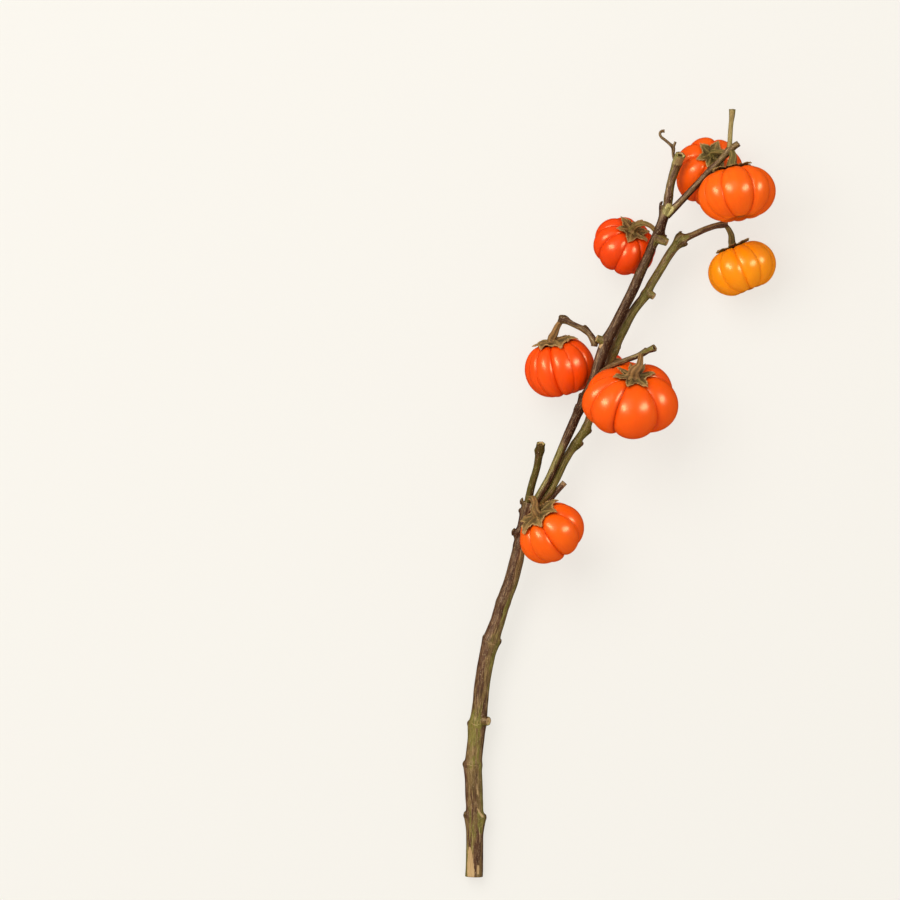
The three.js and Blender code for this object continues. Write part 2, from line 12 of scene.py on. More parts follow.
import bpy
import numpy as np
from bpy.props import FloatProperty, FloatVectorProperty, PointerProperty
from bpy.types import Operator, Panel, PropertyGroup
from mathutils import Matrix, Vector


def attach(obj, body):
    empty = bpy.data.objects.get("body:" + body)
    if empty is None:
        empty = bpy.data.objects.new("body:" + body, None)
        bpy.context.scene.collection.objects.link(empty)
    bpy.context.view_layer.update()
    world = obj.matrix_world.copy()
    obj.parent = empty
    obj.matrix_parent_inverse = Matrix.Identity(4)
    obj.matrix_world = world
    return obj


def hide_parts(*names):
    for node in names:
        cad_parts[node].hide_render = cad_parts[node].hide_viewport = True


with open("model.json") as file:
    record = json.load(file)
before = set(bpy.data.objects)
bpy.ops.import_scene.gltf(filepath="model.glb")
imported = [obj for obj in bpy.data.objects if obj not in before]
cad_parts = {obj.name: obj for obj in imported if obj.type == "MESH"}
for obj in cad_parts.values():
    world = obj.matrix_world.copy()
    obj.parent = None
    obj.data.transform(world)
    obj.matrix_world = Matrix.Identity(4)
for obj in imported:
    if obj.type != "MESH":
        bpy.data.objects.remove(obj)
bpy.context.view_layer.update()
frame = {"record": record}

bl_info = {
    "name": "Pumpkin tree branch",
    "version": (1, 0, 0),
    "blender": (4, 5, 0),
    "location": "3D View > Sidebar > Branch",
    "description": "Builds a cut branch with dry calyces and ribbed orange fruits",
    "category": "Add Mesh",
}

MM = 0.001
ORIGIN = np.array([101.477, 268.476, 0.0])  # the frame's origin, from the cut foot of the stem
UP = np.array([0.0, 0.0, 1.0])  # from the floor to the viewer

# Curves and waves
SPLINE_STEPS = 24  # points of a curve between two rows of its table
WAVE_SLOPE = 0.09  # spread of the slopes of random waves, in radians a mm
PHASES = 6.28  # random phases lie between 0 and this, about a whole turn

# Stems, in mm
NODE_LENGTH = 2.6  # half length of the swelling at a node
FULL_NODE = 0.125  # share of the diameter from which a swelling counts as a full node
CRACK_PITCH = 4.2  # how close the cracks at a node are, in radians a mm
CRACK_DEPTH = 0.432  # depth of the cracks beside the height of the wrinkles
FULL_RELIEF = 5  # radius from which a stem's wrinkles have their full height
MARK_EDGE = 0.84  # where a mark on the bark begins to fade, as a share of its reach
TONE_LEAN = 8  # degrees by which a tone leans round the stem over its half length
TEAR_HEIGHT = 0.9  # how far the wood of a torn end rises and falls
PITH_DEPTH = 1.4  # depth of the rotted pith of a torn end
PAINTED_SHADE_SIDE = np.array([0.91, -0.4, -0.1])  # the way the stems' side that carries painted shade faces, away from the light

# Buds and the knobs under them, as shares of the bud's diameter
BUD_LIFT = 0.3  # how much higher a bud's tip is than the stem's middle
BUD_SINK = 0.36  # how deep a bud is sunk into its knob
BUD_SIZE = 0.58  # size of a bud beside its knob
BUD_LENGTH = 1.7  # length of a bud along the stem beside its width
KNOB_WIDTH = 0.45  # half width of a knob round the stem
KNOB_HEIGHT = 0.92  # height of a knob beside the reach of its bud
KNOB_HEAD = 0.5  # how far a knob runs out towards the tip
KNOB_TAIL = 1.5  # and towards the foot

# Fruits, as shares of the radius where no other unit is given
FLAT_DEPTH = 0.3  # how much of a resting fruit is pressed flat, in mm
SHOULDER = 0.86  # power of the outline's sine: under 1 it bulges out beyond an ellipse
DIMPLE_WIDTH = 0.36  # radius of the hollow at each pole
DIMPLE_STEEPNESS = 1.4  # depth of the outline's bell beside that of the hollow it leaves
BLOSSOM_DIMPLE = 0.7  # depth of the hollow at the blossom end beside the one at the calyx
RIB_DEPTH = 0.115  # depth of the grooves beside a 45 degree rib
RIB_FADE = 0.42  # distance from the pole where ribs begin
RIB_ARC = 0.62  # power of a rib's arc, which at 0.5 would be a circle's
GROOVE_ROUND = 0.06  # how round the bottom of a groove is
RIB_COLUMNS = 26  # columns of points on a rib
FRUIT_RINGS = 100  # rings of points from pole to pole
POLE_GAP = 1.5  # the first ring's angle from the pole, in degrees
UNEVENNESS = 0.004  # how far the skin is off its formula

# Calyces, in mm where no other unit is given
CLEARANCE = 0.3  # air between a calyx and its fruit
STAR_GAP = 0.35  # air under a star, a little more because its grid is finer than the solid's
LOBE_THICKNESS = 0.8
LOBE_MIDRIB = 0.5  # extra thickness at a lobe's midrib
LOBE_WIDEST = 0.3  # half width of a lobe where it is widest, as a share of its width
LOBE_SHOULDER = 0.74  # how far out that is, as a share of its reach
EDGE_STEPS = 12  # points of a lobe's edge between two of its knots
CALYX_HUB = 0.11  # extra thickness at the middle of a calyx as a share of the fruit's radius
NECK_REACH = 0.14  # straight start of a stalk above its foot as a share of the fruit's radius
STALK_STEP = 0.5  # spacing of the rings of points along a stalk

# Colours that go with those of BranchSettings
PALE_THREAD = (0.46, 0.29, 0.13)
DARK_BARK = (0.3, 0.24, 0.22)  # multiplies the bark's colour in cracks and shade
BARK_PORE = (0.42, 0.31, 0.17)
WOOD_LINE = (0.36, 0.2, 0.075)
FRESH_WOOD = (0.46, 0.43, 0.14)
CALYX_OLIVE = (0.145, 0.115, 0.02)
CALYX_FLECK = (0.4, 0.23, 0.09)
DARK_FIBRE = (0.5, 0.43, 0.38)  # multiplies the calyx's colour between its fibres
SKIN_PORE = (1.0, 0.4, 0.08)
BLOSSOM_SCAR = (0.12, 0.055, 0.02)
FLOOR_LIT = (0.21, 0.21, 0.21)  # multiplies the floor's colour where lamps light it

# The stage, in metres
LIT_POINT = Vector((0, 0.05, 0.04))  # where the lamps aim
VIEW_MIDDLE = Vector((-0.1183, 0.0311, 0.035))  # the middle of the photograph's frame
VIEW_WIDTH = 0.63

Limb = namedtuple("Limb", "rows sides green purple pale dark")
Fruit = namedtuple("Fruit", "at height radius half axis first_groove ribs dimple crown deep")
Calyx = namedtuple("Calyx", "lobes stalk neck base notch")
Path = namedtuple("Path", "point tangent distance diameter node")
Edge = namedtuple("Edge", "direction reach rib curl place fold lean")
Shell = namedtuple("Shell", "points quads triangles values")

# Rings of a cut face from its rim to its middle: share of the rim, height and how bare.
CUT_RINGS = np.array([
    [0.96, 0.3, 0], [0.86, 0.34, 0.1], [0.84, 0.2, 1], [0.6, 0.2, 1], [0.35, 0.2, 1],
    [0.12, 0.1, 0.5],
])

# Stems: rows of x, y, z, diameter and how much the stem swells there as a share of its diameter.
MAIN_STEM = [
    [0, 0, 5.8, 12.2], [0.5, 19.5, 7, 11.8], [0.5, 42.5, 8.6, 11.9, 0.05], [0, 61.5, 9.6, 12.4],
    [-0.5, 78.5, 10.4, 12, 0.06], [1, 93, 11.4, 11.6], [3, 109, 12.4, 11.8, 0.06],
    [4.5, 122, 13.6, 11], [6, 136.5, 14.6, 11], [9.5, 156, 16.2, 11.2], [12, 166, 17, 11.6, 0.05],
    [17, 180.5, 18.4, 10.3], [20.5, 192.5, 19.4, 10.3, 0.06], [26.2, 208, 20.8, 10.3],
    [30, 222.5, 22, 10], [32, 233, 22.8, 8.8, 0.1], [33.9, 243.5, 23.6, 8], [36.2, 254, 24.4, 8.5],
    [38.5, 262.5, 25.2, 8.4],
]
LEFT_STUB = [
    [36.5, 256, 25, 6], [38.6, 266.5, 26.4, 5.4], [40.8, 276, 27.6, 5.2], [44, 287, 29, 5.1],
    [46, 299, 30.4, 5.4, 0.3], [46.8, 303.9, 33, 6.2],
]
RIGHT_STUB = [
    [40, 257, 23.5, 4.6], [49.5, 262, 22.6, 4.2], [53, 264.5, 22.4, 4], [57.5, 270, 22.6, 4],
    [63.4, 276.6, 23, 4.2],
]
DARK_LEADER = [
    [37, 255, 25.4, 6.4], [43, 263, 27, 5.8], [47, 270, 28, 5.4], [52.5, 279.5, 28.8, 5.6],
    [59.5, 295.5, 30.4, 5.6], [66.5, 311.5, 32, 6.6], [73.5, 327.5, 34, 6.6, 0.1],
    [78.5, 338, 36.4, 6.4, 0.12], [84, 350, 38.4, 7], [88.7, 364.5, 39.4, 8.2],
    [92.8, 376, 39.6, 8.3, 0.1], [97.8, 385, 39.5, 7.3], [102.9, 395, 39.4, 7],
    [111.4, 412, 39.4, 7.2], [116.3, 423.5, 39.5, 7], [122, 436, 40, 6.6],
    [125.5, 444.5, 40.6, 6.6], [129.5, 453, 41.2, 7.2, 0.14], [132.5, 461.5, 42, 6.8],
    [135.5, 469, 42.6, 7.4],
]
TOP_LEADER = [
    [133, 463, 42.2, 6.4], [135, 469, 42.8, 6.6], [136, 476.5, 43.4, 6, 0.1], [138, 488, 44.4, 5.8],
    [141.8, 499.8, 45.8, 6.8, 0.08], [144, 505.6, 50.4, 7.5],
]
CURLED_PEDUNCLE = [
    [140.6, 501, 45.8, 2.4], [139.3, 506, 46.6, 2.2], [139, 511, 47.4, 2.2, 0.3],
    [136.5, 513.6, 48, 2], [133, 516.5, 48.4, 2], [130.6, 518.4, 48.6, 1.9],
    [129.8, 520.6, 48.6, 1.9], [130.8, 522.2, 48.6, 2], [132.8, 522.4, 48.6, 2.4],
]
CURLED_SPUR = [[139, 510.5, 47.4, 2], [140.6, 514.6, 48, 1.8]]
RIGHT_TWIG = [
    [134.6, 463.4, 42.4, 5.8], [140.9, 469.6, 43.4, 5.2], [148.8, 477.8, 45.4, 4.7],
    [157, 486.5, 47.8, 4.6], [164, 494, 50, 4.6, 0.08], [171, 501, 52, 4.4],
    [178, 508.5, 54, 5, 0.2], [181.2, 511.2, 54.8, 4.6], [184.4, 513.4, 55.6, 4.4],
]
THIN_TWIG = [
    [178, 508.5, 54, 3.8], [178.5, 514, 54.8, 3.4], [179.1, 525, 56.4, 3.3],
    [179.9, 533, 57.8, 3.4, 0.2], [180.1, 537, 58.4, 4.6],
]
GREEN_LEADER = [
    [37.5, 255, 24, 6.6], [45, 262, 24.4, 6], [52.9, 270.5, 24.8, 5.6], [57.8, 279.5, 25, 5.6],
    [63.5, 291.5, 25.4, 5.6], [70.5, 303.5, 25.8, 5.6, 0.12], [78.5, 315.5, 26.4, 5.8, 0.1],
    [82.5, 326, 27, 6], [86, 338, 27.6, 6], [89.5, 350, 28.4, 6], [94, 361, 29, 6.2],
    [97.5, 368, 29.4, 6.4, 0.14], [101, 376, 29.8, 6.2], [104.9, 384, 30, 6.4], [111, 396, 30, 6.5],
    [120.3, 408.5, 30, 6.6, 0.14], [124.6, 416.5, 29.8, 6.2], [129.2, 423.8, 29.8, 6],
    [132.7, 429.8, 29.8, 6], [137.6, 437.7, 30, 6.2], [144.5, 446, 30, 6, 0.16],
    [153.5, 450.4, 29.6, 4.4], [162, 454.2, 29.2, 4.3], [168.5, 456.4, 29, 4.2],
    [173.5, 457.4, 28.8, 4.2, 0.16], [177.5, 457.8, 28.6, 4.6],
]
LARGE_FRUIT_TWIG = [
    [87.6, 352.8, 39, 4.4], [96.2, 358.4, 50, 3.8], [105, 361.9, 57.2, 3.8],
    [113.4, 365, 61.8, 3.9], [117.8, 367, 63.4, 4.1, 0.1], [121.3, 368.9, 66.4, 4],
    [125.5, 370.6, 69.6, 5.2],
]
LEFT_FRUIT_PEDUNCLE = [
    [84, 372, 38.4, 4.4], [84.2, 374.6, 38.4, 5.4], [83, 377.2, 38, 5], [80.8, 380.6, 37, 4.2],
    [77.6, 383.4, 36, 4, 0.12], [68.8, 387.8, 34, 3.8], [62.6, 390.4, 32.4, 4.2, 0.2],
    [60, 389.2, 31, 3.6],
]

# Each stem: rows, sides, how green and how purple its bark is at its two ends, how pale its cut
# face is, how dark its bark is all round, and how much painted shade darkens its side away from
# the light. The green changes mostly near the far end.
LIMBS = {
    "main": Limb(MAIN_STEM, 64, (0.62, 0.5), (0.42, 0.45), 1.0, (0.0, 0.08)),
    "dark": Limb(DARK_LEADER, 44, (0.2, 0.0), (0.75, 0.85), 0.5, (0.42, 0.8)),
    "green": Limb(GREEN_LEADER, 40, (1.15, 0.35), (-0.35, 0.3), 0.3, (0.12, 0.4)),
    "left_stub": Limb(LEFT_STUB, 36, (1.15, 1.1), (-0.2, -0.2), 0.9, (0.9, 1.2)),
    "right_stub": Limb(RIGHT_STUB, 32, (0.4, 0.4), (0.3, 0.2), 0.9, (0.1, 0.5)),
    "top": Limb(TOP_LEADER, 36, (0.5, 1.1), (0.45, -0.1), 0.8, (0.1, 0.8)),
    "curled": Limb(CURLED_PEDUNCLE, 20, (0.2, 0.2), (0.35, 0.3), 0.4, (0.3, 0.3)),
    "spur": Limb(CURLED_SPUR, 20, (0.2, 0.2), (0.35, 0.3), 0.4, (0.3, 0.3)),
    "right_twig": Limb(RIGHT_TWIG, 32, (0.15, 0.15), (0.7, 0.6), 0.6, (0.25, 0.9)),
    "thin_twig": Limb(THIN_TWIG, 24, (0.9, 0.9), (-0.2, -0.2), 0.5, (-0.15, 0.3)),
    "large_twig": Limb(LARGE_FRUIT_TWIG, 28, (0.15, 0.5), (0.5, 0.2), 0.5, (0.3, 0.8)),
    "left_peduncle": Limb(LEFT_FRUIT_PEDUNCLE, 28, (-0.6, -0.5), (0.35, 0.25), 0.3, (0.28, 0.3)),
}

# Buds on a stem: x, y of the tip, diameter, and how far the knob under it runs out towards the foot
# where that isn't KNOB_TAIL.
BUDS = {
    "main": [
        [-7.2, 43, 5.6], [8.6, 41.5, 5.4], [-7.8, 79, 4.8], [-4.6, 108, 4.4], [6.2, 168.5, 5.2],
        [19, 164.8, 5.2], [26.6, 242.4, 5.4, 0.55], [31.3, 257.4, 3.2, 0.7], [32.4, 264, 4.8, 0.6],
    ],
    "dark": [[73.4, 338.5, 3.2], [71, 331.2, 3], [134.6, 448.4, 3], [130, 472.4, 3.8]],
    "green": [
        [82, 312, 3.8], [76.2, 303, 3.8], [102.6, 371, 3.4], [144, 452.6, 3], [148.6, 442.6, 3.8],
    ],
    "large_twig": [[119, 370.8, 2]],
    "left_stub": [[42.4, 299.6, 3.4], [48.8, 300.6, 3.4]],
    "left_peduncle": [[60.4, 394, 3.2], [78.4, 386.8, 2.6]],
}

# Side shoots cut off short: what they have in common, then x, y of each one's face, its lift over
# the stem's middle, and its diameter.
CUT_SHOOT = Limb(None, 28, (0.55, 0.75), (0.25, 0.1), 0.8, (0.3, 0.4))
CUT_SHOOTS = {
    "main": [[9.8, 109.3, 5, 6.4]],
    "dark": [[134.8, 444.8, 2, 5.6], [86, 377.6, 2, 5.4]],
    "green": [[125.7, 407.2, 2, 5]],
}

# How olive each calyx's star and stalk still are, under 0 browner than most, and how pale its rims
# are, from 0 to 1.
CALYX_TONES = {
    "top_back": (1.0, 1.0, 1.0), "top_front": (0.9, 1.2, 0.4), "yellow": (0.8, 1.0, 0.25),
    "upper_left": (0.25, 0.4, 0.6), "left": (0.35, -0.6, 0.9), "large": (0.5, -0.3, 0.9),
    "small_back": (0.5, 0.5, 1.0), "low": (0.5, 0.2, 0.9),
}

# Ends that are torn instead of cut clean, from 0 to 1.
RAGGED_ENDS = {"top": 1.0, "left_stub": 0.9, "large_twig": 0.6, "right_twig": 0.5, "thin_twig": 0.3}

# Marks on the bark of a stem: distance along it, direction round it (0 right, 90 up to the viewer)
# in degrees, half length in mm, half width in degrees, how bare, how green, depth in mm, and by how
# many degrees the mark leans and narrows over its half length.
BARK_MARKS = {
    "main": [
        (9.5, 121, 12, 28, 1, 0, 0.4, 8, 12),
        (5, 62, 3.4, 12, 0.8, 0, 0.2, 0, 0),
        (38, 52, 8.5, 20, 0, 1, 0.15, 10, 4),
        (45.5, 54, 3.6, 8, 1.3, 0, 0.25, 20, 3),
        (29, 52, 7, 3.5, 0.8, 0, 0.1, 6, 0),
        (61, 66, 5.5, 4.5, 0.7, 0, 0.1, 4, 0),
        (109.5, 84, 4.5, 30, 0.1, 1, 0.1, 0, 8),
        (78.5, 100, 0.5, 46, 0.5, 0.2, 0, 0, 0),
        (108, 110, 0.45, 34, 0.6, 0.3, 0, 0, 0),
        (166, 90, 0.4, 50, 0.5, 0.2, 0, 0, 0),
        (244, 100, 3, 30, 0, 0, 0.5, 0, 0),
        (236, 70, 9, 8, 0.5, 0.2, 0.1, 0, 0),
    ],
    "dark": [
        (237, 84, 6.5, 60, 0.4, 1, 0.2, 0, 0),
        (132, 150, 3.6, 40, 0.85, 0.1, 0.25, 0, 0),
        (118, 118, 10, 5, 0.5, 0, 0.1, 12, 1),
        (212, 62, 4, 36, 0.2, 1, 0.1, 0, 0),
    ],
    "top": [
        (5, 66, 5, 62, 0.6, 1, 0.1, 0, 0),
        (43, 100, 6, 110, 0.45, 0.75, 0.1, 0, 0),
    ],
    "right_twig": [(3.4, 116, 4.6, 60, 0.6, 1, 0.1, 0, 0)],
    "right_stub": [(30, 90, 1.7, 150, 0.45, 0.1, 0, 0, 0)],
    "thin_twig": [(15, 96, 17, 70, 0.44, 0.2, 0, 0, 0)],
    "green": [
        (176, 84, 6, 60, 0.15, 1, 0.1, 0, 0),
        (219, 96, 10, 44, 0.15, 1, 0.1, 0, 0),
    ],
}

# Broad tones of a stem's bark: distance along it, direction round it, half length in mm, half width
# in degrees, and what is added there to how purple, green and dark it is.
BARK_TONES = {
    "main": [
        (20, 62, 15, 26, 0.5, -0.4, 0),
        (26, 106, 14, 16, -0.6, 0.55, -0.1),
        (60, 88, 17, 24, 0.5, -0.4, 0),
        (140, 132, 24, 48, 0.55, -0.7, 0),
        (140, 42, 24, 42, -0.7, 0.2, -0.05),
        (168, 90, 5, 120, -0.5, 0.1, -0.1),
        (205, 138, 33, 52, 0.65, -0.8, 0.3),
        (205, 34, 33, 46, -0.8, 0.25, -0.05),
        (254, 110, 18, 130, 0.55, -0.7, 0.55),
    ],
    "dark": [
        (28, 120, 32, 75, -0.8, 0.95, -0.25),
        (84, 110, 24, 90, 0.5, -0.4, 0.35),
        (190, 110, 40, 70, 0.4, -0.4, 0.25),
    ],
    "right_twig": [(64, 90, 11, 120, -0.7, 0.1, -0.25)],
    "green": [
        (190, 90, 38, 130, -0.35, 0.4, -0.15),
        (248, 90, 16, 130, 0.35, -0.3, 0.1),
    ],
}

# Fruits: centre, height of the centre (None where the fruit rests), radius, half height, direction
# of the calyx, where the first groove is in degrees, the ribs as width in degrees, size beside the
# others and depth of the groove that starts them, the depth of the hollow at the calyx, and the
# colours of crown and groove.
FRUITS = {
    "top_back": Fruit(
        (164.8, 494.5), None, 24.5, 23.2, (0.1, 0.57, 0.82), 82,
        [[50, 1], [56, 1.01], [56, 1.02], [49, 1], [50, 0.98], [49, 0.98], [50, 1]],
        4, (0.95, 0.102, 0.001), (0.62, 0.032, 0.001),
    ),
    "top_front": Fruit(
        (183.1, 478.1), 65, 27.3, 19.9, (-0.17, 0.97, -0.16), 208,
        [
            [36, 1, 0.7], [53, 1.01, 0.9], [35, 1, 1.2], [48, 1, 0.8], [47, 0.98], [46, 0.98],
            [48, 0.98], [47, 1],
        ],
        4, (0.97, 0.12, 0.001), (0.74, 0.055, 0.001),
    ),
    "yellow": Fruit(
        (187.9, 427), None, 24.5, 18.2, (-0.375, 0.927, -0.03), 189,
        [
            [39, 1, 0.7], [39, 1, 0.7], [33, 0.99, 1.2], [41, 1, 0.7], [42, 1, 0.8], [42, 0.98],
            [41, 0.98], [41, 0.98], [42, 1],
        ],
        3.6, (0.98, 0.285, 0.001), (0.86, 0.18, 0.001),
    ),
    "upper_left": Fruit(
        (106.1, 442.5), None, 22.6, 17.3, (0.33, 0.7, 0.63), 170,
        [
            [37, 1.01], [47, 1, 1.05], [44, 1, 1.05], [47, 1, 1.05], [47, 0.98], [46, 0.98],
            [46, 1], [46, 1.03],
        ],
        3.4, (0.86, 0.056, 0.001), (0.54, 0.018, 0.001),
    ),
    "left": Fruit(
        (60, 357.2), None, 24.6, 20.8, (-0.25, 0.955, 0.16), 203,
        [
            [22, 0.99, 0.8], [34, 1, 0.8], [34, 1, 1.6], [34, 1, 0.5], [38, 1.02, 0.9], [40, 1.02],
            [39, 1], [40, 0.98], [39, 0.98], [40, 1],
        ],
        3.6, (0.93, 0.076, 0.001), (0.64, 0.028, 0.001),
    ),
    "large": Fruit(
        (108.3, 335), 56, 34.9, 22.8, (0.14, 0.82, 0.55), 184,
        [
            [30, 1, 0.9], [34, 1, 0.9], [63, 1, 1.25], [66, 1, 1.35], [58, 1.03, 1.1], [55, 0.94],
            [54, 0.87],
        ],
        4.4, (0.95, 0.098, 0.001), (0.72, 0.04, 0.001),
    ),
    "small_back": Fruit(
        (94.5, 357), None, 11.8, 9.4, (0.1, 0.25, 0.96), 10,
        [[60, 1], [55, 0.98], [65, 1], [60, 1], [62, 0.98], [58, 1]],
        1.6, (0.92, 0.06, 0.004), (0.62, 0.016, 0.003),
    ),
    "low": Fruit(
        (54, 241.7), 43, 24.3, 18.6, (-0.565, 0.75, 0.34), 233,
        [
            [40, 1, 0.9], [58, 1.02, 1.35], [52, 1, 0.8], [53, 0.98, 0.8], [52, 0.98], [52, 0.98],
            [53, 1],
        ],
        3.4, (0.96, 0.112, 0.001), (0.72, 0.044, 0.001),
    ),
}

# Calyces: lobes as direction round the fruit, reach down from its pole and width, in degrees, and
# lift of the tip in mm; the stalk from the stem as rows of x, y, z, diameter; the stalk's diameter
# where it leaves the calyx and at its foot; and how far down the notches between the lobes are, as
# a share of the lobes' reach.
CALYCES = {
    "top_back": Calyx(
        [
            [12, 28, 52], [72, 27, 50], [140, 26, 50, 1], [206, 28, 50], [252, 29, 46, 1],
            [305, 28, 52],
        ],
        [[176.6, 507, 53, 3.2], [172.5, 507.6, 51, 3.4]], 4.4, 8, 0.58,
    ),
    "top_front": Calyx(
        [
            [20, 34, 52], [84, 38, 54], [150, 38, 54], [226, 42, 48, 0.4], [266, 40, 42],
            [322, 34, 48, 0.2],
        ],
        [[179.6, 508, 54.6, 4.8], [180.8, 504.2, 58, 5.4]], 7.4, 11, 0.62,
    ),
    "yellow": Calyx(
        [[20, 28, 50], [88, 36, 54], [152, 32, 52], [206, 29, 48], [264, 28, 46], [326, 31, 46]],
        [[175.4, 457.6, 28.7, 3], [178, 454.8, 27.6, 3.6], [180.3, 450, 26, 4.4]], 5.4, 9.2, 0.55,
    ),
    "upper_left": Calyx(
        [
            [9, 29, 50], [62, 32, 46, 1], [134, 31, 52, 0.8], [198, 31, 52], [256, 35, 56],
            [318, 32, 50, 0.6],
        ],
        [
            [127.5, 452, 41, 3.4], [123.8, 456, 42, 3.4], [119.3, 458, 41.6, 3.8],
            [115.2, 457.4, 39.8, 4.4],
        ],
        5.6, 10.4, 0.56,
    ),
    "left": Calyx(
        [
            [60, 36, 54], [122, 36, 54, 0.6], [184, 32, 52], [236, 38, 48], [286, 46, 48],
            [342, 42, 52, 0.4],
        ],
        [[61, 389.8, 31.4, 3.8], [58.2, 385.4, 30, 4.6], [56.6, 381.4, 29, 5.4]], 6.4, 10.8, 0.8,
    ),
    "large": Calyx(
        [
            [16, 26, 42, 0.6], [58, 23, 36, 0.8], [102, 18, 38], [154, 20, 42], [205, 25, 42],
            [255, 27, 38], [305, 27, 38],
        ],
        [[116.2, 366.4, 63.2, 3.4], [115.8, 362.2, 67.6, 4.2], [114.8, 357.8, 69.6, 5.6]],
        7.8, 12, 0.44,
    ),
    "small_back": Calyx(
        [[30, 40, 60], [100, 40, 60], [170, 40, 60], [240, 40, 60], [310, 40, 60]],
        [[93.6, 359.6, 28.6, 2.6]], 3, 4.4, 0.54,
    ),
    "low": Calyx(
        [
            [26, 43, 52, 0.8], [90, 38, 54], [156, 36, 54], [226, 45, 46, 0.6], [274, 44, 44],
            [324, 44, 46, 0.8],
        ],
        [[39, 265.4, 27, 4], [41.4, 265.4, 36, 4.4], [43, 261, 43.6, 5.2]], 6.2, 10.4, 0.64,
    ),
}


class BranchSettings(PropertyGroup):
    """Sizes and colours of the branch that a user would change."""

    bark_step: FloatProperty(
        name="Bark step", description="Spacing of the rings of points along a stem, in mm",
        default=0.8, min=0.2,
    )
    bark_relief: FloatProperty(
        name="Bark relief", description="Height of the wrinkles along the bark, in mm",
        default=0.16, min=0,
    )
    olive: FloatVectorProperty(
        name="Olive bark", description="Main colour of the bark", subtype="COLOR",
        default=(0.185, 0.108, 0.034),
    )
    purple: FloatVectorProperty(
        name="Purple bark", description="Colour of the dark streaks of the bark", subtype="COLOR",
        default=(0.095, 0.034, 0.016),
    )
    green: FloatVectorProperty(
        name="Green bark", description="Colour of the young, green streaks", subtype="COLOR",
        default=(0.19, 0.162, 0.024),
    )
    bare_wood: FloatVectorProperty(
        name="Bare wood", description="Colour of cut faces and peeled spots", subtype="COLOR",
        default=(0.56, 0.37, 0.17),
    )
    dry_calyx: FloatVectorProperty(
        name="Dry calyx", description="Main colour of calyces and stalks", subtype="COLOR",
        default=(0.265, 0.124, 0.034),
    )
    # Painted shade: the colour laid in the hollows of a calyx and under its lobes.
    calyx_shade: FloatVectorProperty(
        name="Calyx shade", description="Olive brown in the hollows of a calyx", subtype="COLOR",
        default=(0.038, 0.021, 0.006),
    )
    calyx_edge: FloatVectorProperty(
        name="Calyx edge", description="Tan rims and ridges of a calyx", subtype="COLOR",
        default=(0.5, 0.275, 0.1),
    )
    lobe_raggedness: FloatProperty(
        name="Ragged lobes", default=0.035, min=0, max=0.2,
        description="How uneven the lobes' edges are, as a share of their reach",
    )
    lobe_fold: FloatProperty(
        name="Lobe fold", description="How far a lobe's midrib stands up over its sides, in mm",
        default=1.0, min=0, max=3,
    )
    rim_roll: FloatProperty(
        name="Rim roll", description="How far the lobes' rims roll up, in mm",
        default=0.6, min=0, max=2,
    )
    skin_roughness: FloatProperty(
        name="Skin roughness", description="Roughness of the fruits' skin",
        default=0.28, min=0, max=1,
    )
    softbox_power: FloatProperty(
        name="Softbox power", default=24, unit="POWER",
        description="Power of each of the two softboxes that shine on the skin",
    )
    key_power: FloatProperty(
        name="Key power", description="Power of the wide light that models the shapes",
        default=37, unit="POWER",
    )
    softbox_colour: FloatVectorProperty(
        name="Softbox colour", description="Colour of the two softboxes", subtype="COLOR",
        default=(1.0, 0.88, 0.8),
    )
    sky_strength: FloatProperty(
        name="Fill light", description="Strength of the even light from all round", default=0.73,
    )
    floor_glow: FloatProperty(
        name="Floor glow", description="Share of the floor's light that no shadow takes away",
        default=0.8, min=0, max=1,
    )
    floor: FloatVectorProperty(
        name="Floor", description="Colour of the pale floor", subtype="COLOR",
        default=(0.895, 0.866, 0.802),
    )


# Paths and grids


def unit(vectors):
    """Each vector divided by its length."""
    return vectors / np.linalg.norm(vectors, axis=-1, keepdims=True)


def vector_grid(x, y, z):
    """Vectors from three grids of numbers, each spread to the size of the largest."""
    return np.stack(np.broadcast_arrays(x, y, z), axis=-1)


def turned(out, angle, up):
    """Vectors at a distance from an axis, an angle round it and a height along it."""
    return vector_grid(out * np.cos(angle), out * np.sin(angle), up)


def smooth(value, low, high):
    """0 below low, 1 above high, and an S between them."""
    share = np.clip((value - low) / (high - low), 0, 1)
    return share * share * (3 - 2 * share)


def wrapped(angle, half=180):
    """An angle moved by whole turns until it lies within half a turn of 0."""
    return (angle + half) % (2 * half) - half


def ring_angles(sides):
    """Even angles round a ring, in radians."""
    return 2 * np.pi * np.arange(sides) / sides


def sums(steps):
    """0 and the running sums of the steps."""
    return np.concatenate([[0], np.cumsum(steps)])


def padded(rows, width, filler=0.0):
    """A table whose short rows are filled up to the given width."""
    return np.array([[*row, *[filler] * (width - len(row))] for row in rows], dtype=float)


def spline(points):
    """A centripetal Catmull-Rom curve: between two points it is the cubic whose slopes follow the
    chords, each chord weighted by the square root of its length."""
    p = np.vstack([2 * points[0] - points[1], points, 2 * points[-1] - points[-2]])
    gap = np.sqrt(np.linalg.norm(np.diff(p, axis=0), axis=1))[:, None]
    before, here, after = gap[:-2], gap[1:-1], gap[2:]
    p0, p1, p2, p3 = p[:-3], p[1:-2], p[2:-1], p[3:]
    slope1 = here * ((p1 - p0) / before - (p2 - p0) / (before + here) + (p2 - p1) / here)
    slope2 = here * ((p2 - p1) / here - (p3 - p1) / (here + after) + (p3 - p2) / after)
    t = np.linspace(0, 1, SPLINE_STEPS, endpoint=False)[:, None, None]
    cubic = (
        p1 + slope1 * t + (3 * (p2 - p1) - 2 * slope1 - slope2) * t**2
        + (2 * (p1 - p2) + slope1 + slope2) * t**3
    )
    return np.vstack([cubic.transpose(1, 0, 2).reshape(-1, 3), points[-1]])


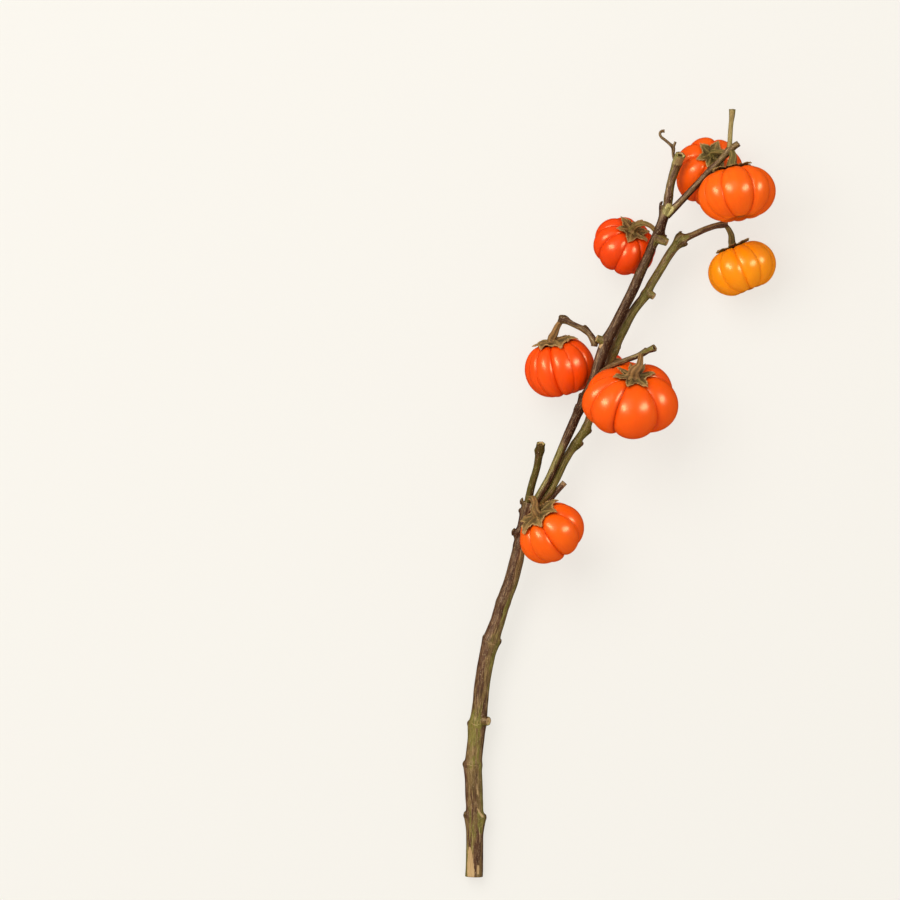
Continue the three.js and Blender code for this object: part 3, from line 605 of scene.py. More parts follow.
def limb_path(rows, step):
    """Points, directions, distances and diameters at even steps along a stem. The diameter runs
    straight from row to row, and swells at a node by a bell curve."""
    table = padded(rows, 5)
    line = spline(table[:, :3])
    walked = sums(np.linalg.norm(np.diff(line, axis=0), axis=1))
    marks = walked[::SPLINE_STEPS]
    distance = np.linspace(0, walked[-1], max(3, int(round(walked[-1] / step)) + 1))
    point = np.stack([np.interp(distance, walked, line[:, k]) for k in range(3)], axis=1)
    bells = np.exp(-(((distance[:, None] - marks) / NODE_LENGTH) ** 2))
    diameter = np.interp(distance, marks, table[:, 3]) + bells @ (table[:, 3] * table[:, 4])
    node = bells @ np.minimum(table[:, 4] / FULL_NODE, 1)
    return Path(point, unit(np.gradient(point, axis=0)), distance, diameter, node)


def across_path(path, up):
    """Two directions across a path: to the side, which is at right angles to the path and to the
    given up direction, and to its top."""
    side = unit(np.cross(path.tangent, up))
    return side, np.cross(side, path.tangent)


def ring_grid(path, up, radius):
    """Rings of points round a path: centre plus radius times cosine to the side and sine to the
    top."""
    side, top = across_path(path, up)
    angle = ring_angles(radius.shape[1])[:, None]
    out = np.cos(angle) * side[:, None, :] + np.sin(angle) * top[:, None, :]
    return path.point[:, None, :] + radius[:, :, None] * out


def waves(seed, along, around, count=9, rough=1.0, finest=14):
    """A seeded sum of waves that closes round the ring: each has a whole number of turns round it
    and its own slope along it. The result stays near -1 to 1."""
    rng = np.random.default_rng(seed)
    total = np.zeros(np.broadcast_shapes(along.shape, around.shape))
    for _ in range(count):
        turns = rng.integers(1, finest)
        slope = rng.normal(0, WAVE_SLOPE) * rough
        phase = rng.uniform(0, PHASES)
        total = total + np.sin(turns * around + slope * along + phase) / np.sqrt(turns)
    return total / np.sqrt(count)


def shell(grid, start, end, values):
    """A closed body from rings of points and a point at each end. Values are given for the rings,
    and each end takes the mean of the ring beside it."""
    rows, sides = grid.shape[:2]
    points = np.vstack([grid.reshape(-1, 3), start, end])
    j = np.arange(sides)
    k = (j + 1) % sides
    i = np.arange(rows - 1)[:, None] * sides
    quads = np.stack([i + j, i + k, i + sides + k, i + sides + j], axis=-1).reshape(-1, 4)
    last = (rows - 1) * sides
    low = vector_grid(rows * sides, k, j)
    high = vector_grid(rows * sides + 1, last + j, last + k)
    spread = {}
    for name, value in values.items():
        value = np.broadcast_to(value, (rows, sides) + np.shape(value)[2:]).astype(float)
        flat = value.reshape((-1,) + value.shape[2:])
        spread[name] = np.concatenate([flat, value[[0, -1]].mean(axis=1)])
    return Shell(points, quads, np.vstack([low, high]), spread)


def make_piece(name, shells, material, slot, *nodes):
    """One mesh from closed shells, in metres in the part's frame, which stands for the nodes."""
    starts = np.cumsum([0] + [len(s.points) for s in shells[:-1]])
    points = (np.vstack([s.points for s in shells]) - ORIGIN) * MM
    points[:, 2] = np.maximum(points[:, 2], 0)
    quads = np.vstack([s.quads + n for s, n in zip(shells, starts)])
    triangles = np.vstack([s.triangles + n for s, n in zip(shells, starts)])
    corners = np.concatenate([quads.ravel(), triangles.ravel()])
    loop_starts = sums(np.repeat([4, 3], [len(quads), len(triangles)]))[:-1]
    mesh = bpy.data.meshes.new(name)
    mesh.vertices.add(len(points))
    mesh.vertices.foreach_set("co", points.ravel())
    mesh.loops.add(len(corners))
    mesh.loops.foreach_set("vertex_index", corners.astype(np.int32))
    mesh.polygons.add(len(loop_starts))
    mesh.polygons.foreach_set("loop_start", loop_starts.astype(np.int32))
    mesh.update(calc_edges=True)
    mesh.polygons.foreach_set("use_smooth", np.ones(len(loop_starts), dtype=bool))
    for key in shells[0].values:
        value = np.concatenate([s.values[key] for s in shells])
        kind, field = ("FLOAT", "value") if value.ndim == 1 else ("FLOAT_VECTOR", "vector")
        mesh.attributes.new(key, kind, "POINT").data.foreach_set(field, value.ravel())
    if mesh.validate():
        raise RuntimeError(f"{name} has faces that aren't valid")
    mesh.materials.append(material)
    piece = bpy.data.objects.new(name, mesh)
    bpy.context.scene.collection.objects.link(piece)
    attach(piece, "root")
    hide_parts(*nodes)


# Stems


def bark_marks(stem, distance, around):
    """Bare, green and depth over a stem's grid: each mark is a rounded box with a soft and slightly
    wandering edge, whose reach is the cube root of the summed cubes along and across it."""
    most = np.zeros((3, len(distance), len(around)))
    for place, turn, half_length, half_width, *strengths, lean, taper in BARK_MARKS.get(stem, []):
        wander = 0.45 * np.sin(2 * around + place) + 0.2 * np.sin(5 * around + place)
        on = (distance[:, None] - place - wander) / half_length
        off = wrapped(np.degrees(around) - turn - lean * on)
        across = off / np.maximum(half_width - taper * on, 1)
        reach = (np.abs(np.clip(on, -3, 3)) ** 3 + np.abs(across) ** 3) ** (1 / 3)
        spot = 1 - smooth(reach, MARK_EDGE, 1)
        most = np.maximum(most, np.array(strengths)[:, None, None] * spot)
    return most


def bark_tones(stem, distance, around):
    """What is added over a stem's grid to purple, green and dark: each tone is a flat-topped bell
    along the stem times a bell round it, which leans a little."""
    added = np.zeros((3, len(distance), len(around)))
    for place, turn, half_length, half_width, *tone in BARK_TONES.get(stem, []):
        on = (distance[:, None] - place) / half_length
        off = wrapped(np.degrees(around) - turn + TONE_LEAN * on)
        added += np.array(tone)[:, None, None] * np.exp(-(on**4) - (off / half_width) ** 2)
    return added


def cut_face(centre, direction, ring, values, pale, ragged=0.0):
    """Rings that close the end of a stem with a cut: the ring is drawn in to its centre, the bark's
    rim is slightly rounded, and the wood inside is bare. A ragged end is torn: its wood rises and
    falls by a sum of waves, and its pith has rotted to a dark hollow."""
    share, bulge, bare = CUT_RINGS.T[:, :, None]
    around = ring_angles(len(ring))
    torn = waves(77, share * 6, around, count=8, rough=4, finest=11) * smooth(share, 0.3, 0.8)
    rot = ragged * (1 - smooth(share, 0.3, 0.7))
    bulge = bulge + ragged * (torn * TEAR_HEIGHT - PITH_DEPTH * (1 - smooth(share, 0.2, 0.7)))
    rings = centre + (ring - centre) * share[..., None] + direction * bulge[..., None]
    face = {name: np.repeat(value[-1:], len(share), axis=0) for name, value in values.items()}
    face["bare"] = bare * pale * (1 - 0.45 * ragged * np.clip(torn, 0, 1)) * (1 - rot)
    face["shade"] = face["shade"] + rot
    return rings, {name: np.concatenate([value, face[name]]) for name, value in values.items()}


def way_out(path, x, y, lift):
    """The number of the path's point that is nearest to a place as seen from above, and the way
    from that point to the place, which is the given lift higher."""
    nearest = np.argmin(np.hypot(path.point[:, 0] - x, path.point[:, 1] - y))
    foot = path.point[nearest]
    return nearest, np.array([x, y, foot[2] + lift]) - foot


def knobs(path, buds, around):
    """How far a stem swells under its buds: for each bud a bell round the stem times a bell along
    it, which runs out further towards the foot than towards the tip."""
    side, top = across_path(path, UP)
    swell = np.zeros((len(path.distance), len(around)))
    for x, y, size, tail in padded(buds, 4, KNOB_TAIL):
        nearest, way = way_out(path, x, y, size * BUD_LIFT)
        turn = np.arctan2(way @ top[nearest], way @ side[nearest])
        radius = path.diameter[nearest] / 2
        height = max(np.linalg.norm(way) - radius, 0) * KNOB_HEIGHT
        off = wrapped(around - turn, np.pi) * radius / (size * KNOB_WIDTH)
        beyond = path.distance[:, None] - path.distance[nearest]
        length = size * np.where(beyond < 0, tail, KNOB_HEAD)
        swell = np.maximum(swell, height * np.exp(-(off**2) - (beyond / length) ** 2))
    return swell


def bark_colours(name, limb, seed, path, around):
    """Green, purple and dark over a stem's grid: they run from their value at the foot to that at
    the tip, differ between the side that faces the viewer and the flanks, drift in slow waves, and
    take the tones of BARK_TONES."""
    along = path.distance[:, None]
    share = along / along[-1]
    facing = np.cos(2 * (around - np.pi / 2))
    drift = waves(seed + 20, along, around, count=6, rough=0.45, finest=4)
    other = waves(seed + 70, along, around, count=6, rough=0.8, finest=5)
    more_purple, more_green, more_dark = bark_tones(name, path.distance, around)
    green, purple = limb.green, limb.purple
    green = green[0] + (green[1] - green[0]) * share**3 - 0.22 * facing + 0.55 * drift
    purple = purple[0] + (purple[1] - purple[0]) * share + 0.15 * facing - 0.4 * drift + 0.3 * other
    return green + more_green, purple + more_purple, limb.dark[0] + more_dark


def stem_shell(name, limb, seed, step, relief):
    """One stem with its bark: rings round its path, with wrinkles along it, a low swelling and
    cracks at each node, a knob under each bud, the marks of BARK_MARKS and a cut face at its end.
    The main stem has a cut foot as well."""
    path = limb_path(limb.rows, step)
    around = ring_angles(limb.sides)
    along = path.distance[:, None]
    size = path.diameter[:, None] / 2
    wrinkles = waves(seed, along, around, count=12, finest=16)
    wrinkles = wrinkles + waves(seed + 50, along, around, count=5, rough=6, finest=4) * 0.5
    bare, spot_green, depth = bark_marks(name, path.distance, around)
    node = path.node[:, None]
    cracks = node * np.sin(along * CRACK_PITCH + 2 * waves(seed + 9, along, around))
    swell = knobs(path, BUDS.get(name, []), around)
    coarse = relief * np.clip(size / FULL_RELIEF, 0.35, 1.1)
    radius = size + (wrinkles * (1 - bare) + cracks * CRACK_DEPTH) * coarse - depth + swell
    grid = ring_grid(path, UP, radius)

    green, purple, dark = bark_colours(name, limb, seed, path, around)
    outward = unit(grid - path.point[:, None])
    # Painted shade: the side of each stem that faces away from the light is darkened by its limb's
    # second dark value.
    painted_side_shade = limb.dark[1] * smooth(outward @ PAINTED_SHADE_SIDE, -0.15, 0.75)
    # Painted shade: each stem's flanks and under side, turned from the top, are darker where the
    # bark isn't bare.
    painted_flank_shade = smooth(np.abs(wrapped(np.degrees(around) - 90)), 48, 92) * (1 - bare)
    knob = np.clip(swell / size, 0, 1)
    # Painted shade also darkens the furrows between the wrinkles. Node, dark and knob are the
    # bark's own darker colour.
    shade = node * 0.3 - wrinkles * 0.2 + painted_flank_shade * 0.8 + dark + knob * 0.6 + painted_side_shade
    values = {
        "grain": turned(size, around, along + seed * 40),
        "bare": bare,
        "green": np.maximum(green, spot_green * 1.3),
        "purple": purple * (1 - spot_green * 0.8),
        "shade": np.clip(shade, 0, 1.15),
    }
    foot, tip = path.point[0], path.point[-1]
    ragged = RAGGED_ENDS.get(name, 0)
    rings, values = cut_face(tip, path.tangent[-1], grid[-1], values, limb.pale, ragged)
    grid = np.concatenate([grid, rings])
    if name == "main":
        back = {key: value[::-1] for key, value in values.items()}
        rings, back = cut_face(foot, -path.tangent[0], grid[0], back, limb.pale)
        values = {key: value[::-1] for key, value in back.items()}
        grid = np.concatenate([rings[::-1], grid])
    return shell(grid, foot, tip + path.tangent[-1] * CUT_RINGS[-1, 1], values)


def bud_shell(path, x, y, size, seed, limb):
    """A bud on its scar: a lens drawn out to a tip, with overlapping scales as ridges."""
    nearest, way = way_out(path, x, y, size * BUD_LIFT)
    reach = np.linalg.norm(way)
    outward = way / reach
    size = size * BUD_SIZE
    seat = path.point[nearest] + outward * (reach - size * BUD_SINK)
    side = unit(np.cross(outward, path.tangent[len(path.tangent) // 2]))
    forward = np.cross(side, outward) * BUD_LENGTH
    height = np.linspace(0.04, 0.97, 16)[:, None]
    turn = ring_angles(24)
    lens = np.sin(np.pi * height) ** 0.55
    scales = 0.09 * np.sin(3 * turn + 9 * height) + 0.06 * waves(seed, height * 30, turn, finest=6)
    radius = size / 2 * lens * (1 + scales)
    rise = (height * 2 - 1) * size * 0.46
    across = np.cos(turn)[:, None] * side + np.sin(turn)[:, None] * forward
    grid = seat + radius[..., None] * across + rise[..., None] * outward
    worn = smooth(height, 0.55, 0.8) * (1 - smooth(height, 0.85, 0.95))
    values = {
        "grain": turned(radius, turn, rise * 1.5 + seed * 3),
        "bare": 0.32 * worn,
        "green": limb.green[1],
        "purple": limb.purple[1],
        "shade": 0.8 + 0.35 * smooth(height, 0.86, 0.97),
    }
    end = outward * size * 0.47
    return shell(grid, seat - end, seat + end, values)


def stem_shells(step, relief):
    """All the wood: the stems, their side shoots and their buds."""
    shells = []
    for seed, (name, limb) in enumerate(LIMBS.items(), start=1):
        shells.append(stem_shell(name, limb, seed, step, relief))
        path = limb_path(limb.rows, step)
        for number, (x, y, lift, diameter) in enumerate(CUT_SHOOTS.get(name, [])):
            nearest, way = way_out(path, x, y, lift)
            foot = path.point[nearest]
            middle, tip = foot + way * 0.6, foot + way
            rows = [[*foot, diameter * 1.5], [*middle, diameter * 1.15], [*tip, diameter]]
            shoot = CUT_SHOOT._replace(rows=rows)
            shells.append(stem_shell("shoot", shoot, seed + 30 + number, step * 0.6, relief))
        for number, (x, y, size, *_) in enumerate(BUDS.get(name, [])):
            shells.append(bud_shell(path, x, y, size, seed * 10 + number, limb))
    return shells


# Fruits


def outline(fruit, degrees):
    """Distance from the axis and height above the middle at an angle down from the calyx pole: a
    sine drawn fatter by a power, and a cosine with a bell-shaped hollow at each pole."""
    angle = np.radians(degrees)
    out = fruit.radius * np.abs(np.sin(angle)) ** SHOULDER
    hollow = np.exp(-((out / (fruit.radius * DIMPLE_WIDTH)) ** 2))
    depth = np.where(degrees < 90, fruit.dimple, fruit.dimple * BLOSSOM_DIMPLE)
    return out, (fruit.half - depth * hollow * DIMPLE_STEEPNESS) * np.cos(angle)


def rib_fade(fruit, out):
    """How fully the ribs show at a distance from the fruit's axis: 1 less a bell round the pole."""
    return 1 - np.exp(-((out / (fruit.radius * RIB_FADE)) ** 2))


def ribs_at(fruit, directions):
    """Groove depth, size and place across the rib for directions round the fruit, in degrees. The
    groove is the gap between a rib's flat crown and a circle-like arc across it."""
    ribs = padded(fruit.ribs, 3, 1)
    edges = sums(ribs[:, 0])
    spread = (directions - fruit.first_groove) % edges[-1]
    which = np.clip(np.searchsorted(edges, spread, side="right") - 1, 0, len(ribs) - 1)
    after = (which + 1) % len(ribs)
    span, own = ribs[which, 0], ribs[which, 1]
    across = 2 * (spread - edges[which]) / span - 1
    beside = np.where(across < 0, ribs[which - 1, 1], ribs[after, 1])
    depth = RIB_DEPTH * (span / 45) ** 0.8 * np.where(across < 0, ribs[which, 2], ribs[after, 2])
    arc = (np.clip(1 - across**2, 0, 1) * (1 - GROOVE_ROUND) + GROOVE_ROUND) ** RIB_ARC
    return depth * (1 - arc), own + (beside - own) / 2 * across**2, across


def skin(fruit, directions, degrees):
    """Points of the fruit's skin in its own frame: the outline scaled by the rib's size less its
    groove, which fades out at the poles."""
    out, up = outline(fruit, degrees)
    groove, size, _ = ribs_at(fruit, directions)
    share = 1 + (size - 1 - groove) * rib_fade(fruit, out)
    return turned(out * share, np.radians(directions), up * share)


def fruit_frame(fruit):
    """The fruit's own axes as rows, and its centre. Its Z runs to the calyx, its X leans to +X,
    and a fruit that rests is lowered until it is pressed flat by FLAT_DEPTH."""
    z = unit(np.array(fruit.axis, dtype=float))
    x = unit(np.array([1.0, 0, 0]) - z * z[0])
    axes = np.stack([x, np.cross(z, x), z])
    height = fruit.height
    if height is None:
        points = skin(fruit, np.arange(0, 360, 2.0), np.arange(4, 177, 2.0)[:, None])
        height = -(points @ axes)[..., 2].min() - FLAT_DEPTH
    return axes, np.array([*fruit.at, height], dtype=float)


def on_axis(fruit, height, pole=0.0):
    """The point on the fruit's axis at a height over the skin of its calyx pole, or of the pole at
    180 degrees."""
    axes, centre = fruit_frame(fruit)
    return np.array([0, 0, outline(fruit, pole)[1] + height]) @ axes + centre


def fruit_shell(fruit, seed):
    """The fruit: skin on a grid of directions and degrees, with a slight unevenness of its own. The
    columns lie closer together beside the grooves, by a sine."""
    edges = sums([rib[0] for rib in fruit.ribs])
    lean = np.sin(np.linspace(-1, 1, RIB_COLUMNS + 1)[:-1] * np.pi / 2) * 0.5 + 0.5
    directions = (edges[:-1, None] + np.diff(edges)[:, None] * lean).ravel() + fruit.first_groove
    degrees = 180 - np.linspace(POLE_GAP, 180 - POLE_GAP, FRUIT_RINGS)[:, None]
    angle = np.radians(directions)
    uneven = waves(seed, degrees * 0.6, angle, count=6, finest=5) * UNEVENNESS
    points = skin(fruit, directions, degrees) * (1 + uneven[..., None])
    groove, _, place = ribs_at(fruit, directions)
    axes, centre = fruit_frame(fruit)
    values = {
        "skin": turned(1, angle, degrees / 60 + seed),
        "groove": np.abs(place) ** 8 * np.clip(groove / RIB_DEPTH - 0.1, 0.1, 1),
        "side": np.abs(place) ** 2.4,
        "polar": degrees / 180,
    }
    blossom, calyx = on_axis(fruit, 0, 180.0), on_axis(fruit, 0)
    return shell(points @ axes + centre, blossom, calyx, values)


# Calyces


def lobed_edge(lobes, notch, raggedness, seed):
    """The edge of a star, from a notch through each lobe's widest place to its tip and back, drawn
    in towards the tip by a power, and made ragged by a seeded sum of waves."""
    lobes = padded(lobes, 4)
    knots = []
    for (direction, reach, width, curl), after in zip(lobes, np.roll(lobes, -1, axis=0)):
        half, beside = width * LOBE_WIDEST, (reach * LOBE_SHOULDER, 0.3, curl * 0.4)
        gap = (after[0] - direction) % 360 / 2
        knots += [
            (direction - half, *beside, -0.5), (direction, reach, 1, curl, 0),
            (direction + half, *beside, 0.5),
            (direction + gap, min(reach, after[1]) * notch, 0, 0, 1),
        ]
    knots = np.array(knots)
    ahead = np.roll(knots, -1, axis=0)
    ahead[:, 0] = knots[:, 0] + (ahead[:, 0] - knots[:, 0]) % 360
    knots[3::4, 4] = -1  # past a notch the next lobe begins
    share = np.arange(EDGE_STEPS) / EDGE_STEPS
    power = np.array([1.3, 1 / 1.3, 0.85, 1.15] * len(lobes))[:, None]
    bent = np.where(power > 1, share**power, 1 - (1 - share) ** (1 / power))

    def between(column, share):
        """One column from each knot to the next."""
        return (knots[:, column, None] * (1 - share) + ahead[:, column, None] * share).ravel()

    direction = between(0, share)
    rng = np.random.default_rng(seed)
    turns = rng.integers(17, 60, 8)
    phases = rng.uniform(0, PHASES, 8)
    ragged = np.sin(np.radians(direction)[:, None] * turns + phases).sum(axis=1) / 4
    lobe = np.repeat((np.arange(len(knots)) + 1) // 4 % len(lobes), EDGE_STEPS)
    return Edge(
        direction, between(1, bent) * (1 + raggedness * ragged), between(2, share),
        between(3, share), between(4, share), rng.uniform(-0.4, 1.1, len(lobes))[lobe],
        rng.uniform(-1, 1, len(lobes))[lobe],
    )


def star_shell(fruit, calyx, settings, seed):
    """The star of a calyx: it lies on the fruit's shoulder, raised along the outline's normal. It
    is thin at its edge, thicker at each midrib, and swells to a hub in the middle. Each lobe is
    folded along its midrib like a roof, and one of its sides leans up."""
    edge = lobed_edge(calyx.lobes, calyx.notch, settings.lobe_raggedness, seed)
    groove, _, _ = ribs_at(fruit, edge.direction)
    angle = np.radians(edge.direction)
    off_midrib = np.abs(edge.place)
    roof = np.clip(1 - 2 * off_midrib, 0, 1)
    beside = np.clip(2 * edge.place, -1, 1) * (1 - smooth(off_midrib, 0.6, 1))

    def raised(share, height):
        """Points at a share of the star's reach and a height over the skin, half of whose grooves
        the star follows."""
        degrees = edge.reach * share
        out, up = outline(fruit, degrees)
        out1, up1 = outline(fruit, degrees + 1)
        out0, up0 = outline(fruit, np.abs(degrees - 1))
        slope = unit(np.stack([out1 - np.where(degrees < 1, -out0, out0), up1 - up0], axis=-1))
        drape = 1 - groove * rib_fade(fruit, out) * 0.5
        out = out * drape - slope[..., 1] * height
        return turned(out, angle, up * drape + slope[..., 0] * height)

    def lifted(share):
        """The height of the star's under side: its fold, lean, crumple, rolled rim and curl."""
        fold = np.maximum(edge.fold * roof * share * (1.25 - share) * 2.4, 0)
        lean = 0.9 * np.clip(edge.lean * beside, 0, 1) * share**2
        crumple = waves(seed + 11, share * 14, angle, rough=3, finest=15)
        crumple = 0.6 * np.clip(0.5 + crumple, 0, 2) * share
        rolled = (1 + 0.5 * np.sin(angle * 23 + seed)) * smooth(share, 0.62, 1)
        bent = settings.lobe_fold * (fold + lean + crumple) + settings.rim_roll * rolled
        return STAR_GAP + edge.curl * share**3 + bent

    hub = CALYX_HUB * fruit.radius
    above = np.array([*np.linspace(0.06, 0.9, 20), 0.95, 0.985])[:, None]
    below = np.linspace(0.96, 0.1, 7)[:, None]
    rim = np.array([[1.0]])
    crest = np.exp(-((edge.place / 0.16) ** 2))
    veins = 0.5 + 0.5 * np.cos(above * 34 - off_midrib * 9)
    pucker = waves(seed + 3, above * 60, angle, count=10, rough=3, finest=18) * 0.16
    body = (
        LOBE_THICKNESS * (0.55 + 0.45 * np.sqrt(1 - above**2))
        + LOBE_MIDRIB * (edge.rib * 0.5 + crest * 0.9) * (1.1 - above)
        + hub * (1 - above) ** 3 + (0.1 * veins + pucker) * above
    )
    grid = np.concatenate([
        raised(above, lifted(above) + body), raised(rim, lifted(rim) + LOBE_THICKNESS * 0.3),
        raised(below, lifted(below)),
    ])[::-1]

    share = np.concatenate([above, rim, below])[::-1]
    # Painted shade: the hollow value darkens the under side of the lobes, and each blade beside its
    # midrib towards the hub.
    hidden = np.arange(len(share))[:, None] < len(below)
    veins = np.concatenate([veins, np.zeros((len(share) - len(above), len(angle)))])[::-1]
    rim_mark = smooth(share, 0.82, 0.97)
    blade = (0.5 + 0.5 * smooth(off_midrib, 0.2, 0.6)) * (1 - 0.8 * crest) * (1 - rim_mark)
    hollow = np.clip(blade * smooth(share, 0.1, 0.35) * (1.15 - 0.4 * share), 0, 1)
    values = {
        "grain": vector_grid(share * 9, edge.place * 5, edge.direction / 20),
        "ridge": np.clip(crest * 0.3 * smooth(share, 0.05, 0.3) + veins * 0.14 * share, 0, 1),
        "edge": np.where(hidden, 0.1, rim_mark),
        "hollow": np.where(hidden, 0.7, hollow),
    }
    axes, centre = fruit_frame(fruit)
    floor = on_axis(fruit, STAR_GAP)
    peak = on_axis(fruit, STAR_GAP + LOBE_THICKNESS + LOBE_MIDRIB + hub)
    return shell(grid @ axes + centre, floor, peak, values)


def stalk_shell(fruit, calyx, seed):
    """The stalk: five ridges wind slowly along it and run out over the hub of the star, where it
    flares like a trumpet."""
    root = CLEARANCE + LOBE_THICKNESS + CALYX_HUB * fruit.radius * 0.4
    reach = fruit.radius * NECK_REACH
    base = calyx.base
    flare = [
        (reach, calyx.neck), (reach * 0.4, (calyx.neck + base) / 2.3), (0, base),
        (-reach * 0.22, base * 1.3),
    ]
    rows = [*calyx.stalk, *([*on_axis(fruit, root + height), width] for height, width in flare)]
    path = limb_path(rows, STALK_STEP)
    axes, _ = fruit_frame(fruit)
    bend = path.point[0] - path.point[-1]
    across = np.cross(bend, axes[2])
    if np.linalg.norm(across) < 0.05 * np.linalg.norm(bend):
        across = axes[0]
    around = ring_angles(40)
    along = path.distance[:, None]
    size = path.diameter[:, None] / 2
    wind = along * 0.05 + 0.5 * waves(seed, along, around, count=4, finest=3)
    ridges = np.cos(5 * around + wind)
    fine = waves(seed + 4, along, around, count=10, rough=2, finest=18)
    grid = ring_grid(path, unit(across), size * (0.94 + 0.08 * ridges + 0.05 * fine))
    values = {
        "grain": turned(size, around, along * 0.5 + seed * 7),
        "ridge": np.clip(smooth(ridges, 0.2, 1) * 0.35 + fine * 0.4, 0, 1),
        "edge": 0.0,
        # Painted shade in the valleys between the ridges.
        "hollow": np.clip(smooth(-ridges, 0, 1) * 0.75 - fine * 0.5, 0, 1),
    }
    return shell(grid, path.point[0], path.point[-1], values)


# Materials


class Nodes:
    """Short calls for a material's node tree."""

    def __init__(self, name):
        self.material = bpy.data.materials.new(name)
        self.material.use_nodes = True
        self.tree = self.material.node_tree
        self.shader = self.tree.nodes["Principled BSDF"]

    def add(self, kind, inputs=None, **settings):
        """A node with its settings, and its inputs set to values or linked to other sockets."""
        node = self.tree.nodes.new(kind)
        for key, value in settings.items():
            setattr(node, key, value)
        for key, value in (inputs or {}).items():
            self.feed(node.inputs[key], value)
        return node

    def feed(self, socket, value):
        """Sets or links one input."""
        if isinstance(value, bpy.types.NodeSocket):
            self.tree.links.new(value, socket)
        else:
            socket.default_value = value

    def attribute(self, name, output="Fac"):
        """The value of a mesh attribute."""
        return self.add("ShaderNodeAttribute", attribute_name=name).outputs[output]

    def noise(self, vector, scale, detail, roughness, distortion=0.0):
        """Noise from 0 to 1. A scale of three numbers stretches it along the vector's axes."""
        if isinstance(scale, tuple):
            mapping = self.add("ShaderNodeMapping", {"Vector": vector, "Scale": scale})
            vector, scale = mapping.outputs[0], 1.0
        return self.add("ShaderNodeTexNoise", {
            "Vector": vector, "Scale": scale, "Detail": detail, "Roughness": roughness,
            "Distortion": distortion,
        }).outputs["Fac"]

    def span(self, value, low, high, to_low=0.0, to_high=1.0):
        """A value moved from one span to another and held inside it."""
        return self.add("ShaderNodeMapRange", {
            0: value, 1: low, 2: high, 3: to_low, 4: to_high,
        }, clamp=True).outputs[0]

    def math(self, operation, a, b):
        """Two values taken together by one operation."""
        return self.add("ShaderNodeMath", {0: a, 1: b}, operation=operation).outputs[0]

    def varied(self, value, noise, gain):
        """A value that a noise raises and lowers round its middle."""
        swing = self.math("MULTIPLY", self.math("SUBTRACT", noise, 0.5), gain)
        return self.math("ADD", value, swing)

    def blend(self, factor, a, b, mode="MIX"):
        """Two colours mixed by a factor."""
        node = self.add("ShaderNodeMix", data_type="RGBA", blend_type=mode)
        self.feed(node.inputs[0], factor)
        for socket, value in ((node.inputs[6], a), (node.inputs[7], b)):
            self.feed(socket, value if isinstance(value, bpy.types.NodeSocket) else (*value, 1.0))
        return node.outputs[2]

    def bump(self, height, distance, strength):
        """A bump of the given height in metres."""
        inputs = {"Height": height, "Distance": distance, "Strength": strength}
        return self.add("ShaderNodeBump", inputs).outputs[0]

    def finish(self, **inputs):
        """Feeds the shader and returns the material."""
        for key, value in inputs.items():
            self.feed(self.shader.inputs[key.replace("_", " ")], value)
        return self.material


def bark_material(settings):
    """Bark: olive brown with purple and green streaks along the stem, pale pores, dark nodes,
    painted shade on its flanks, in its furrows and on its side away from the light, and bare wood
    with its grain where it is cut or peeled."""
    n = Nodes("bark")
    grain = n.attribute("grain", "Vector")
    shade = n.attribute("shade")
    streaks = n.noise(grain, (0.42, 0.42, 0.04), 5, 0.6, 0.6)
    threads = n.noise(grain, (1.7, 1.7, 0.16), 5, 0.68, 0.4)
    blotches = n.noise(grain, (0.3, 0.3, 0.06), 5, 0.6, 0.4)
    speckle = n.noise(grain, (1.9, 1.9, 1.2), 1, 0.5)
    purple = n.varied(n.attribute("purple"), streaks, 3.0)
    green = n.varied(n.attribute("green"), blotches, 3.2)
    colour = n.blend(n.span(green, 0.55, 0.9), settings.olive, settings.green)
    colour = n.blend(n.span(purple, 0.36, 0.66), colour, settings.purple)
    colour = n.blend(n.span(threads, 0.53, 0.64), colour, n.blend(0.6, colour, PALE_THREAD))
    darker = n.blend(1.0, colour, DARK_BARK, "MULTIPLY")
    colour = n.blend(n.span(threads, 0.48, 0.37), colour, darker)
    # The shade value is the bark's own darker nodes, knobs and tones together with painted shade.
    # The sheen below is lowered with it.
    colour = n.blend(n.math("MULTIPLY", shade, 0.85), colour, darker)
    colour = n.blend(n.span(speckle, 0.66, 0.72, 0, 0.75), colour, BARK_PORE)
    wood_lines = n.noise(grain, (2.6, 2.6, 0.1), 3, 0.6)
    wood = n.blend(n.span(wood_lines, 0.35, 0.7), settings.bare_wood, WOOD_LINE)
    wood = n.blend(n.span(n.attribute("green"), 1.05, 1.25, 0, 0.75), wood, FRESH_WOOD)
    bare = n.varied(n.attribute("bare"), threads, 0.35)
    colour = n.blend(n.span(bare, 0.3, 0.62), colour, wood)
    height = n.math("ADD", threads, n.math("MULTIPLY", speckle, 0.35))
    return n.finish(
        Base_Color=colour, Roughness=n.span(threads, 0.3, 0.7, 0.5, 0.34),
        Specular_IOR_Level=n.span(shade, 0.3, 1.0, 0.42, 0.06), Specular_Tint=(1.0, 0.85, 0.6, 1.0),
        Normal=n.bump(height, 0.00022, 0.8),
    )


